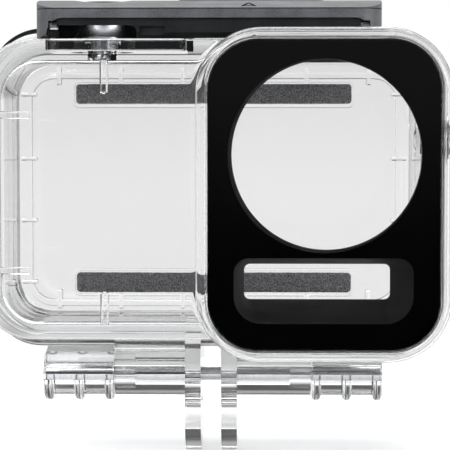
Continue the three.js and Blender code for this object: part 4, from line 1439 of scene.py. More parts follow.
@dataclass
class LensWindow:
    """The window pane with its black mask, the port ring, the sensor hood and the gasket."""

    layout: Layout
    pane_size: Plate = (37.66, 50.26, 8.08)
    pane_front: float = -27.65
    pane_edges: Pair = (0.3, 0.15)
    mask_size: Plate = (37.46, 50.06, 7.98)
    mask_front: float = -25.65
    mask_rear: float = -25.05
    contact: float = 0.05
    port: Disc = Disc(15.7, 18.9, 6.5, 128)
    opening: Outline = Outline(29.1, 10.7, 2.5, 18.75, -15.35, 4.5)
    throat: Outline = Outline(24.7, 6.0, 1.0, 18.15, -15.0)
    hood_rear: float = -11.1
    hood_wall: float = 0.9
    ring_x: float = 19.2
    ring_z: float = 6.65
    ring_inner: float = 15.35
    ring_inner_rear: float = 15.6
    ring_outer: float = 16.55
    ring_step: Pair = (1.2, 1.5)
    ring_depth: float = 3.2
    ring_flat: float = -9.15
    brow_radius: float = 15.7
    brow_depth: Pair = (1.6, 2.6)
    brow_low: float = 21.6
    gasket_size: Plate = (37.4, 50.0, 7.95)
    gasket_width: float = 0.95
    gasket_y: Pair = (-25.0, -24.4)

    def _mask(self) -> Solid:
        """Returns the black plate with its port and its sensor window, printed a little into the pane."""
        plate = Solid.slab(
            self.layout.turret(*self.mask_size), self.mask_front - self.contact, self.mask_rear
        )
        low = self.mask_front - SHORT_OVERRUN
        high = self.mask_rear + SHORT_OVERRUN
        return plate.cut(Solid.slab(self.port, low, high), Solid.slab(self.opening, low, high))

    def _hood(self) -> Solid:
        """Returns the funnel from the sensor window back to its throat, as a closed skin."""
        front = self.mask_rear + self.contact
        steps = 8
        outside = [(i / steps, -self.hood_wall) for i in range(steps + 1)]
        inside = [(i / steps, 0.0) for i in range(steps, -1, -1)]
        rings = []
        for t, inset in outside + inside:
            along = front + (self.hood_rear - front) * t
            wide = self.opening.points(inset)
            tight = self.throat.points(inset)
            rings.append([
                (a[0] + (b[0] - a[0]) * t, along, a[1] + (b[1] - a[1]) * t) for a, b in zip(wide, tight)
            ])
        return Solid.lofted(rings, closed=True)

    def _ring(self) -> Solid:
        """Returns the stepped ring behind the port, cut flat where the hood passes it."""
        front = self.mask_rear + self.contact
        rear = front + self.ring_depth
        step_start, step_end = self.ring_step
        corners = [
            (self.ring_inner, front), (self.ring_inner, front + step_start),
            (self.ring_inner_rear, front + step_end), (self.ring_inner_rear, rear),
            (self.ring_outer, rear), (self.ring_outer, front),
        ]
        centre = (self.ring_x, 0.0, self.ring_z)
        ring = Solid.turned(eased(corners, 0.15), centre, Across.Y, closed=True, steps=128)

        def below(level: float) -> Solid:
            """Returns a cutter for what lies below a level."""
            depth = (front - SHORT_OVERRUN, front + 3 * SHORT_OVERRUN)
            return box((0.0, FAR_OVERRUN), depth, (-20.0, level))

        near, far = self.brow_depth
        drawing = Disc(self.brow_radius, self.ring_x, self.ring_z, 128)
        brow = Solid.slab(drawing, front + near, front + far).cut(below(self.brow_low))
        return ring.cut(below(self.ring_flat)).joined(brow)

    def _gasket(self) -> Solid:
        """Returns the gasket behind the mask."""
        section = eased(rectangle((0.0, self.gasket_width), self.gasket_y), 0.25)
        return Solid.band(self.layout.turret(*self.gasket_size), section)

    def build(self) -> list[Piece]:
        """Builds the window's pieces.

        Returns:
            The pieces.
        """
        low_edge, high_edge = self.pane_edges
        pane = Solid.slab(
            self.layout.turret(*self.pane_size), self.pane_front, self.mask_front,
            low_edge=low_edge, high_edge=high_edge, divisions=4,
        )
        made = (
            (pane, "window_pane", PANE_FINISH, Slot.GLASS, "front_glass"),
            (self._mask(), "black_face_mask", MASK_FINISH, Slot.GLOSS_BLACK, "face_mask"),
            (self._gasket(), "pane_gasket", GASKET_FINISH, Slot.BLACK_RUBBER, "window_gasket"),
            (self._ring(), "port_ring", RING_FINISH, Slot.MATT_BLACK, "lens_ring"),
            (self._hood(), "sensor_window_hood", HOOD_FINISH, Slot.MATT_BLACK, "sensor_hood"),
        )
        return [
            set_down(solid, name, Body.HOUSING, finish, (node,))
            for solid, name, finish, slot, node in made
        ]


@dataclass
class RearDoor:
    """The clear door with its plug ring, ribs, pad frames and knuckles, its seal, pads and rail."""

    layout: Layout
    edge: float = 0.9
    least_angle: float = 38.0
    root: float = 0.6
    plug: Outline = Outline(68.8, 42.75, 5.2, 0.0, -0.225, steps=16)
    plug_wall: float = 1.2
    plug_height: float = 0.9
    rib_height: float = 1.0
    rib_width: float = 0.95
    rib_count: int = 6
    rib_pitch: float = 11.3
    upper_ribs_z: Pair = (18.8, 22.1)
    lower_ribs_z: Pair = (-22.1, -18.6)
    side_rib_width: float = 0.8
    side_rib_places: tuple[float, ...] = (-17.175, -5.875, 5.425, 17.1)
    side_ribs_x: Pair = (32.3, 35.2)
    pad_length: float = 50.3
    pad_height: float = 3.6
    pad_corner: float = 0.7
    pad_z: float = 17.25
    pad_gap: float = 0.3
    pad_crown: tuple[Pair, ...] = (
        (0.12, 0.06), (0.0, 0.2), (0.0, 0.7), (0.1, 0.86), (0.3, 0.95), (0.7, 0.99), (1.2, 1.0), (1.7, 1.0),
    )
    frame_gap: float = 0.75
    frame_wall: float = 0.5
    frame_height: float = 0.6
    groove_grow: float = 3.3
    groove_width: float = 1.9
    groove_depth: float = 1.2
    seal_grow: float = 3.2
    seal_width: float = 1.7
    seal_y: Pair = (13.05, 14.4)
    rail_reach: float = 0.7
    lip_gap: float = 0.06
    lip_thickness: float = 0.18
    knuckle_start: float = 17.8
    knuckle_end: float = 30.5
    web_spread: Pair = (1.7, 3.4)
    web_front: float = 1.2
    web_top: float = 1.8
    ring_count: int = 3
    ring_radius: float = 4.8
    ring_width: float = 1.7
    ring_cut_y: Pair = (-10.0, 30.0)

    def _pad_drawing(self, side: int, grow: float = 0.0) -> Outline:
        """Returns the outline round a pad, above or below the middle."""
        length = self.pad_length + 2 * grow
        height = self.pad_height + 2 * grow
        return Outline(length, height, self.pad_corner + grow, 0.0, side * self.pad_z, steps=6)

    def _ribs(self) -> list[Solid]:
        """Returns the short ribs round the plug: upright above and below, level at the sides."""
        tip = self.layout.door_front - self.rib_height
        root = self.layout.door_front + self.root
        middle = (tip + root) / 2
        edges = (0.3, 0.3)
        ribs = []
        for i in range(self.rib_count):
            x = (i - (self.rib_count - 1) / 2) * self.rib_pitch
            rib = Outline(self.rib_width, root - tip, 0.42, x, middle, steps=6)
            for reach in (self.upper_ribs_z, self.lower_ribs_z):
                ribs.append(Solid.slab(rib, *reach, Across.Z, *edges, divisions=4))
        near, far = self.side_ribs_x
        for z in self.side_rib_places:
            rib = Outline(root - tip, self.side_rib_width, 0.36, middle, z, steps=6)
            for reach in ((near, far), (-far, -near)):
                ribs.append(Solid.slab(rib, *reach, Across.X, *edges, divisions=4))
        return ribs

    def _raised(self) -> Solid:
        """Returns the plug ring, the ribs and the pad frames, before the pads' wells are cut."""
        front = self.layout.door_front
        root = front + self.root
        section = wall_section(self.plug_wall, root, front - self.plug_height)
        ring = Solid.band(self.plug, eased(section, 0.2))
        frames = []
        for side in (-1, 1):
            section = wall_section(self.frame_wall, root, front - self.frame_height)
            frame = self._pad_drawing(side, self.frame_gap)
            frames.append(Solid.band(frame, eased(section, 0.2)))
        return ring.joined(*self._ribs(), *frames)

    def _web(self) -> Profile:
        """Returns the side view of the web that joins a knuckle to the plate."""
        at = self.layout
        across, down = self.web_spread
        front = at.door_front + self.web_front
        rear = at.door_rear - 0.3
        top = -at.flange_z + self.web_top
        return Profile((
            (at.pin_y - across, at.pin_z + down), (front, -at.flange_z), (front, top),
            (at.door_rear - self.edge, top), (rear, -at.flange_z + self.edge), (rear, -at.flange_z),
            (at.pin_y + across, at.pin_z - down),
        ))

    def _knuckles(self) -> list[Solid]:
        """Returns the door's barrels, their webs and the raised half rings under them."""
        at = self.layout
        parts = []
        half = self.ring_width / 2
        first = self.knuckle_start + half
        last = self.knuckle_end - half
        ends = (0.2, 0.2)
        for side in (1, -1):
            reach = sorted((side * self.knuckle_start, side * self.knuckle_end))
            parts.append(Solid.slab(at.barrel_drawing(at.barrel), *reach, Across.X, *ends, divisions=3))
            parts.append(Solid.slab(self._web(), *reach, Across.X))
            for i in range(self.ring_count):
                middle = side * (first + (last - first) * i / (self.ring_count - 1))
                ring = Solid.slab(
                    at.barrel_drawing(self.ring_radius), middle - half, middle + half, Across.X,
                    0.7, 0.7, divisions=5,
                )
                width = (middle - 3.0, middle + 3.0)
                height = (at.pin_z - 0.6, at.pin_z + 10.0)
                parts.append(ring.cut(box(width, self.ring_cut_y, height)))
        return parts

    def _door(self) -> Solid:
        """Returns the whole clear door."""
        at = self.layout
        front = at.door_front
        plate = Solid.slab(at.flange(), front, at.door_rear, low_edge=0.45, high_edge=self.edge)
        wells = [
            Solid.slab(self._pad_drawing(side, self.pad_gap), front - OVERRUN, front) for side in (-1, 1)
        ]
        section = wall_section(self.groove_width, front - SHORT_OVERRUN, front + self.groove_depth)
        groove = Solid.band(at.cavity(self.groove_grow), section)
        raised = self._raised().cut(*wells)
        return plate.joined(raised, *self._knuckles()).cut(groove, at.pin_bore())

    def _pad(self, side: int) -> Solid:
        """Returns one felt pad: a crowned strip with a fibrous surface."""
        drawing = Outline(
            self.pad_length, self.pad_height, self.pad_corner, 0.0, side * self.pad_z, steps=5, straight=90
        )
        front = self.layout.door_front
        rings = [[(u, front - rise, v) for u, v in drawing.points(inset)] for inset, rise in self.pad_crown]
        return Solid.lofted(rings).roughened(0.05, 3.2)

    def _rail(self) -> Solid:
        """Returns the dark strip over the door's upper edge, with its thin lip before the plate."""
        at = self.layout
        lip = at.door_front - self.lip_gap
        front = lip - self.lip_thickness
        rear = at.door_rear - 0.3
        corners = [
            (self.rail_reach, lip), (self.rail_reach, front), (-self.rail_reach, front),
            (-self.rail_reach, rear), (-0.05, rear), (-0.05, lip),
        ]
        lower = box((-OUTSIDE, OUTSIDE), BEHIND, (-OUTSIDE, at.flange_z - at.flange_corner))
        return Solid.band(at.flange(steps=24), eased(corners, 0.07, 2)).cut(lower)

    def _seal(self) -> Solid:
        """Returns the clear seal in the plate's groove."""
        section = eased(rectangle((0.0, self.seal_width), self.seal_y), 0.45, 4)
        return Solid.band(self.layout.cavity(self.seal_grow), section)

    def build(self) -> list[Piece]:
        """Builds the door's pieces.

        Returns:
            The pieces.
        """
        door = self._door().softened(0.18, 2, self.least_angle)
        moulding = set_down(door, "clear_door_moulding", Body.DOOR, DOOR_FINISH, ("rear_door",))
        retextured(moulding, TEXTURED_FINISH, self.layout.frosted)
        pieces = [
            moulding,
            set_down(self._seal(), "door_seal", Body.DOOR, SEAL_FINISH, ("door_gasket",)),
            set_down(self._rail(), "door_rail", Body.DOOR, RECESS_SHADE_AND_RAIL_FINISH, ("door_top_rail",)),
        ]
        for side, name in ((1, "upper"), (-1, "lower")):
            pad = set_down(
                self._pad(side), f"{name}_felt_pad", Body.DOOR, FELT_FINISH, (f"{name}_pad",),
                sharp=60.0,
            )
            pieces.append(pad)
        return pieces


@dataclass
class HingePin:
    """The steel pin through the knuckles of the case and the door."""

    layout: Layout
    half_length: float = 30.5
    chamfer: float = 0.3

    def build(self) -> list[Piece]:
        """Builds the pin and returns it as a placed piece."""
        at = self.layout
        radius = at.pin_radius
        profile = [
            (radius - self.chamfer, -self.half_length), (radius, -self.half_length + self.chamfer),
            (radius, self.half_length - self.chamfer), (radius - self.chamfer, self.half_length),
        ]
        pin = Solid.turned(profile, (0.0, at.pin_y, at.pin_z), Across.X)
        return [set_down(pin, "polished_hinge_pin", Body.HOUSING, STEEL_X, ("hinge_pin",))]


@dataclass
class Latch:
    """The latch over the top, with its recessed front, its window and its two pivot pins."""

    layout: Layout
    left: float = -30.1
    right: float = 29.4
    front: float = -9.0
    rear: float = 19.3
    corner: float = 4.0
    plan_z: Pair = (15.0, 45.0)
    front_top: float = 31.5
    crown: float = 33.35
    crown_y: float = 1.0
    roof: float = 32.0
    rear_low: float = 29.65
    rear_round: float = 2.6
    step_y: float = 7.6
    inset: float = 2.7
    front_wall: float = 1.7
    rear_wall: float = 2.0
    end_wall: float = 2.0
    brow_wall: float = 1.15
    under: float = 18.0
    band_low: float = 29.8
    recess: float = 0.5
    recess_low: float = 20.0
    recess_corner: float = 2.8
    window_width: float = 14.9
    window_corner: float = 1.4
    window_x: float = -20.05
    window_top: float = 28.6
    window_depth: float = 1.9
    small_pocket: Outline = Outline(4.4, 1.5, 0.3, -10.0, 27.65, steps=5)
    above: Pair = (20.0, 40.0)
    button_hole: float = 5.35
    slot_size: Plate = (9.3, 6.5, 0.4)
    slot_y: float = 8.6
    lug_gap: float = 0.15
    lug_room: Point = (1.5, 1.6, 1.6)
    arrow_half: Pair = (1.35, 0.95)
    arrow_tail: Pair = (-8.15, -8.4)
    arrow_tip: Pair = (-5.3, -6.3)
    arrow_z: Pair = (31.4, 36.0)
    seam_z: Pair = (31.3, 31.45)
    baffle_x: Pair = (-27.9, -3.2)
    baffle_y: Pair = (5.6, 6.8)
    baffle_low: float = 24.35
    edge: float = 0.3
    least_angle: float = 30.0
    pin_right: Pair = (25.75, 27.8)
    pin_left: Pair = (-28.5, -26.25)
    pin_radius: float = 0.8

    def _side(self) -> Profile:
        """Returns the latch's side view, drawn in Y and Z."""
        at = self.layout
        low = at.pivot_z - self.inset
        points = [(self.front, at.pivot_z)]
        points += arc((at.pivot_y, at.pivot_z), self.inset, 180, 270, 10)[1:]
        points += [(self.step_y, low), (self.step_y, self.rear_low), (self.rear, self.rear_low)]
        centre = (self.rear - self.rear_round, self.crown - self.rear_round)
        points += arc(centre, self.rear_round, 0, 90, 10)
        middle = ((self.front + self.crown_y) / 2, self.crown)
        steps = 12
        for i in range(steps + 1):
            t = i / steps
            y = self.crown_y * (1 - t) ** 2 + middle[0] * 2 * t * (1 - t) + self.front * t**2
            z = self.crown * (1 - t) ** 2 + middle[1] * 2 * t * (1 - t) + self.front_top * t**2
            points.append((y, z))
        return Profile(tuple(points))

    def _plan(self, inset: float = 0.0) -> Solid:
        """Returns the latch's plan as a tall block, drawn in by the inset."""
        width = self.right - self.left - 2 * inset
        depth = self.rear - self.front - 2 * inset
        x = (self.left + self.right) / 2
        y = (self.rear + self.front) / 2
        plan = Outline(width, depth, self.corner - inset, x, y, steps=14)
        return Solid.slab(plan, *self.plan_z, Across.Z)

    def _block(self) -> Solid:
        """Returns the latch's outside, with round corners seen from above."""
        return Solid.slab(self._side(), self.left, self.right, Across.X).common(self._plan())

    def _hollow(self) -> Solid:
        """Returns the room under the latch's roof."""
        front = self.front + self.front_wall
        rear = self.rear - self.rear_wall
        drawing = Profile((
            (front, self.under), (rear, self.under), (rear, self.roof), (self.crown_y, self.roof),
            (front, self.front_top - self.brow_wall),
        ))
        room = Solid.slab(drawing, self.left + self.end_wall, self.right - self.end_wall, Across.X)
        return room.common(self._plan(self.front_wall))

    def _front_cutters(self) -> list[Solid]:
        """Returns the cutters for the front recess, the open window and the small pocket."""
        low = self.recess_low
        left = self.left + self.end_wall
        right = self.right - self.end_wall
        out = self.front - OVERRUN
        middle = (self.band_low + low) / 2
        recess = Outline(right - left, self.band_low - low, self.recess_corner, (left + right) / 2, middle)
        window = Outline(
            self.window_width, self.window_top - low, self.window_corner, self.window_x,
            (self.window_top + low) / 2,
        )
        return [
            Solid.slab(recess, out, self.front + 6.0).cut(self._plan(self.recess)),
            Solid.slab(window, out, self.front + self.window_depth),
            Solid.slab(self.small_pocket, out, self.front + self.recess + 0.5),
        ]

    def _top_cutters(self) -> list[Solid]:
        """Returns the cutters for the button's hole, the lock's slot, the pivot and the lugs' room."""
        at = self.layout
        hole = Disc(self.button_hole, at.shutter_x, 0.0, 72)
        slot = Outline(*self.slot_size, at.lock_x, self.slot_y, steps=4)
        pivot = Disc(at.pivot_bore, at.pivot_y, at.pivot_z, 32)
        cutters = [
            Solid.slab(hole, *self.above, Across.Z),
            Solid.slab(slot, *self.above, Across.Z),
            Solid.slab(pivot, self.left + 1.5, self.right - 1.5, Across.X),
        ]
        ahead, behind, over = self.lug_room
        for x in (at.lug_left, at.lug_right):
            reach = (x - self.lug_gap, x + at.lug_width + self.lug_gap)
            depth = (at.pivot_y - ahead, at.pivot_y + behind)
            cutters.append(box(reach, depth, (self.under, at.pivot_z + over)))
            mouth = (self.front - OVERRUN, at.pivot_y)
            cutters.append(box(reach, mouth, (self.under, at.pivot_z + 0.4)))
        return cutters

    def _arrow(self) -> Solid:
        """Returns the cutter for the small moulded arrow on the sloping front."""
        x = self.layout.lock_x - 0.35
        outer, inner = self.arrow_half
        outer_tail, inner_tail = self.arrow_tail
        outer_tip, inner_tip = self.arrow_tip
        shape = Profile((
            (x - outer, outer_tail), (x, outer_tip), (x + outer, outer_tail),
            (x + inner, inner_tail), (x, inner_tip), (x - inner, inner_tail),
        ))
        return Solid.slab(shape, *self.arrow_z, Across.Z)

    def _seam(self) -> Solid:
        """Returns the cutter for the fine line between the top and the front."""
        middle = (self.left + self.right) / 2
        reach = (middle - FAR_OVERRUN, middle + FAR_OVERRUN)
        depth = (self.front - SHORT_OVERRUN, self.front + 4.0)
        return box(reach, depth, self.seam_z).cut(self._plan(0.45))

    def _in_shade(self, middle: Vector) -> bool:
        """Says if a face lies in the front recess or under the roof, where the darker finish paints shade."""
        centre = Vector(((self.left + self.right) / 2, (self.front + self.rear) / 2))
        half = Vector(((self.right - self.left) / 2, (self.rear - self.front) / 2))
        core = half - Vector((self.corner, self.corner))
        away = Vector((abs(middle.x - centre.x), abs(middle.y - centre.y)))
        beyond = Vector((max(away.x - core.x, 0.0), max(away.y - core.y, 0.0)))
        depth = self.corner - beyond.length
        in_recess = middle.z < self.band_low and depth > self.recess * 0.6
        under_roof = middle.z < self.roof + 0.1 and depth > 1.2
        return in_recess or under_roof

    def build(self) -> list[Piece]:
        """Builds the latch and its pins.

        Returns:
            The pieces.
        """
        at = self.layout
        baffle = box(self.baffle_x, self.baffle_y, (self.baffle_low, self.roof + 0.4))
        shell = self._block().cut(self._hollow()).joined(baffle)
        whole = shell.cut(*self._front_cutters(), *self._top_cutters(), self._arrow())
        rounded = whole.softened(self.edge, 3, self.least_angle).cut(self._seam())
        lever = set_down(rounded, "latch_lever", Body.LATCH, LATCH_FINISH, ("latch_frame",))
        # The recess and the room under the roof get the darker finish as painted shade
        retextured(lever, RECESS_SHADE_AND_RAIL_FINISH, self._in_shade)
        pieces = [lever]
        drawing = Disc(self.pin_radius, at.pivot_y, at.pivot_z, 40)
        for reach, name in ((self.pin_right, "right"), (self.pin_left, "left")):
            pin = Solid.slab(drawing, *reach, Across.X, 0.15, 0.15, divisions=3)
            # The pivot pins take the dark steel colour as painted shade
            pieces.append(set_down(
                pin, f"latch_pivot_{name}", Body.LATCH, PIVOT_SHADE_FINISH, (f"latch_pin_{name}",)
            ))
        return pieces


@dataclass
class LockSlide:
    """The sliding lock on the latch: its plate with grip grooves, its stem, tongue and spring."""

    layout: Layout
    width: float = 25.7
    length: float = 11.0
    front: float = 2.0
    low: float = 33.55
    top: float = 35.6
    corner: float = 2.2
    edge: float = 0.6
    travel: float = 3.0
    grip_count: int = 4
    grip_size: Plate = (17.0, 0.7, 0.35)
    grip_pitch: float = 1.6
    grip_depth: float = 0.4
    stem_size: Plate = (9.0, 3.2, 0.5)
    stem_y: float = 7.1
    stem_low: float = 32.0
    tongue_size: Plate = (16.0, 8.5, 0.8)
    tongue_y: float = 7.75
    tongue_z: Pair = (30.2, 31.8)
    tongue_edges: Pair = (0.25, 0.15)
    spring_low: float = 12.1
    spring_high: float = 17.2
    spring_seat: float = 17.3
    spring_z: float = 31.0
    spring_radius: float = 0.55
    spring_wire: float = 0.3
    spring_turns: int = 7

    def _slide(self) -> Solid:
        """Returns the plate on top with its grip grooves, and the stem under it."""
        x = self.layout.lock_x
        middle = self.front + self.length / 2
        plan = Outline(self.width, self.length, self.corner, x, middle, steps=12)
        plate = Solid.slab(plan, self.low, self.top, Across.Z, 0.3, self.edge)
        grips = []
        for i in range(self.grip_count):
            y = middle + (i - (self.grip_count - 1) / 2) * self.grip_pitch
            groove = Outline(*self.grip_size, x, y, steps=6)
            grips.append(Solid.slab(groove, self.top - self.grip_depth, self.top + SHORT_OVERRUN, Across.Z))
        stem_plan = Outline(*self.stem_size, x, self.stem_y, steps=6)
        stem = Solid.slab(stem_plan, self.stem_low, self.low + 0.5, Across.Z)
        return plate.joined(stem).cut(*grips).softened(0.12, 2, 35.0)

    def build(self) -> list[Piece]:
        """Builds the lock's pieces.

        Returns:
            The pieces.
        """
        x = self.layout.lock_x
        plan = Outline(*self.tongue_size, x, self.tongue_y, steps=6)
        tongue = Solid.slab(plan, *self.tongue_z, Across.Z, *self.tongue_edges, divisions=3)
        wound = Solid.wound(
            self.spring_radius, self.spring_wire, self.spring_turns, self.spring_low, self.spring_high,
            (x, 0.0, self.spring_z), Across.Y,
        )
        slide = self._slide()
        pieces = [
            set_down(slide, "lock_slide_plate", Body.LOCK, SLIDER_FINISH, ("lock_slider",)),
            set_down(tongue, "lock_slide_tongue", Body.LOCK, LATCH_FINISH, ("lock_tongue",)),
            set_down(wound, "lock_return_spring", Body.LATCH, SPRING_STEEL, ("lock_spring",)),
        ]
        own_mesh(pieces[2])
        return pieces


@dataclass
class PushButton:
    """A sealed push button: collar, cap, plunger, clip, return spring and seal."""

    prefix: str
    body: Body
    joint: str
    centre: Point
    axis: Across
    wall: float
    travel: float
    cap_radius: float
    cap_height: float
    cap_finish: MouldedPlastic | TurnedMetal
    cap_slot: Slot
    collar_radius: float
    collar_land: float
    collar_top_radius: float
    collar_height: float
    spigot_radius: float
    spring_floor: float
    spring_wire: float
    seal_height: float
    seal_section: float
    clip_pocket: float
    dish: float = 0.35
    rod_bore: float = 1.25
    rod_radius: float = 1.2
    rod_neck: float = 0.85
    rod_chamfers: Pair = (0.25, 0.15)
    spring_radius: float = 1.95
    spring_turns: float = 3.5
    collar_step: float = 0.1
    cap_chamfer: float = 0.25
    cap_crest: tuple[Pair, ...] = ((0.0, 0.15), (0.35, 0.0), (0.9, 0.0))
    dish_steps: tuple[Pair, ...] = ((1.4, 0.6), (2.2, 0.9))
    clip_radii: Pair = (0.9, 2.2)

    def _collar(self) -> Solid:
        """Returns the fixed collar with its bore, spring room and seal groove."""
        bore = self.rod_bore
        end = -self.wall + self.clip_pocket
        room = self.spring_radius + self.spring_wire / 2 + 0.4
        half = self.seal_section + 0.05
        groove = bore + self.seal_section + half
        profile = [
            (bore, end), (self.spigot_radius, end), (self.spigot_radius, self.collar_step),
            (self.collar_radius, self.collar_step), (self.collar_radius, self.collar_land),
            (self.collar_top_radius, self.collar_height), (room, self.collar_height),
            (room, self.spring_floor), (bore, self.spring_floor), (bore, self.seal_height + half),
            (groove, self.seal_height + half), (groove, self.seal_height - half),
            (bore, self.seal_height - half),
        ]
        return Solid.turned(eased(profile, 0.18, 3), self.centre, self.axis, closed=True, steps=72)

    def _cap(self, low: float) -> Solid:
        """Returns the pressed cap that starts at low, dished on top and hollow over the plunger."""
        top = low + self.cap_height
        r = self.cap_radius
        start, turn = ((r - inward, top - self.dish * share) for inward, share in self.dish_steps)
        edge = [(r - self.cap_chamfer, low), (r, low + self.cap_chamfer)]
        edge += [(r - inward, top - down) for inward, down in self.cap_crest]
        outside = eased([*edge, start], 0.3, 3, closed=False)
        outside += [turn, (LEAST_RADIUS, top - self.dish)]
        roof = low + 1.05
        inside = [(LEAST_RADIUS, roof), (self.rod_bore, roof), (self.rod_bore, low)]
        return Solid.turned(outside + inside, self.centre, self.axis, closed=True, steps=72)

    def _plunger(self, clip: Pair, low: float) -> Solid:
        """Returns the plunger, with a neck for the clip, up into the cap that starts at low."""
        rod = self.rod_radius
        end_chamfer, top_chamfer = self.rod_chamfers
        end = -self.wall + 0.1
        top = low + 1.0
        neck_low = clip[0] - 0.05
        neck_high = clip[1] + 0.05
        profile = [
            (rod - end_chamfer, end), (rod, end + end_chamfer), (rod, neck_low), (self.rod_neck, neck_low),
            (self.rod_neck, neck_high), (rod, neck_high), (rod, top - top_chamfer), (rod - top_chamfer, top),
        ]
        return Solid.turned(profile, self.centre, self.axis, steps=48)

    def _clip(self, low: float, high: float) -> Solid:
        """Returns the retaining clip in the plunger's neck."""
        section = eased(rectangle(self.clip_radii, (low, high)), 0.1, 2)
        return Solid.turned(section, self.centre, self.axis, closed=True)

    def _seal(self) -> Solid:
        """Returns the ring seal round the plunger."""
        r = self.seal_section
        middle = self.rod_bore + r
        turns = (2 * math.pi * i / 14 for i in range(14))
        section = [(middle + r * math.cos(a), self.seal_height + r * math.sin(a)) for a in turns]
        return Solid.turned(section, self.centre, self.axis, closed=True, steps=56)

    def build(self) -> list[Piece]:
        """Builds the button's pieces.

        Returns:
            The pieces.
        """
        low = self.collar_height + self.travel + 0.2
        clip_high = -self.wall + self.clip_pocket - 0.1
        clip_low = clip_high - 0.5
        start = self.spring_floor + 0.1
        end = low - 0.1
        wound = Solid.wound(
            self.spring_radius, self.spring_wire, self.spring_turns, start, end, self.centre, self.axis
        )
        fixed = Body.HOUSING
        made = (
            ("collar", "collar", self._collar(), fixed, COLLAR_FINISH, Slot.GREY_METAL),
            ("cap", "cap", self._cap(low), self.body, self.cap_finish, self.cap_slot),
            ("plunger", "plunger", self._plunger((clip_low, clip_high), low), self.body, STEEL_Z, Slot.STEEL),
            ("clip", "clip", self._clip(clip_low, clip_high), self.body, STEEL_Z, Slot.STEEL),
            ("seal", "o_ring", self._seal(), fixed, GASKET_FINISH, Slot.BLACK_RUBBER),
            ("spring", "spring", wound, fixed, SPRING_STEEL, Slot.STEEL),
        )
        pieces = []
        for name, node, solid, body, finish, slot in made:
            nodes = (f"{self.prefix}_{node}",)
            pieces.append(set_down(solid, f"{self.prefix}_button_{name}", body, finish, nodes))
        along = self.axis.direction()
        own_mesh(pieces[-1])
        return pieces


# Studio


@dataclass
class Lamp:
    """One soft area lamp that is aimed at the object."""

    name: str
    place: Point
    size: Pair
    power: float
    aim: Point = (0.0, 0.0, 0.035)

    def build(self) -> None:
        """Makes the lamp."""
        data = bpy.data.lights.new(self.name, "AREA")
        data.shape = "RECTANGLE"
        data.size, data.size_y = self.size
        data.energy = self.power
        lamp = bpy.data.objects.new(self.name, data)
        lamp.location = self.place
        lamp.rotation_euler = (Vector(self.aim) - Vector(self.place)).to_track_quat("-Z", "Y").to_euler()
        bpy.context.scene.collection.objects.link(lamp)


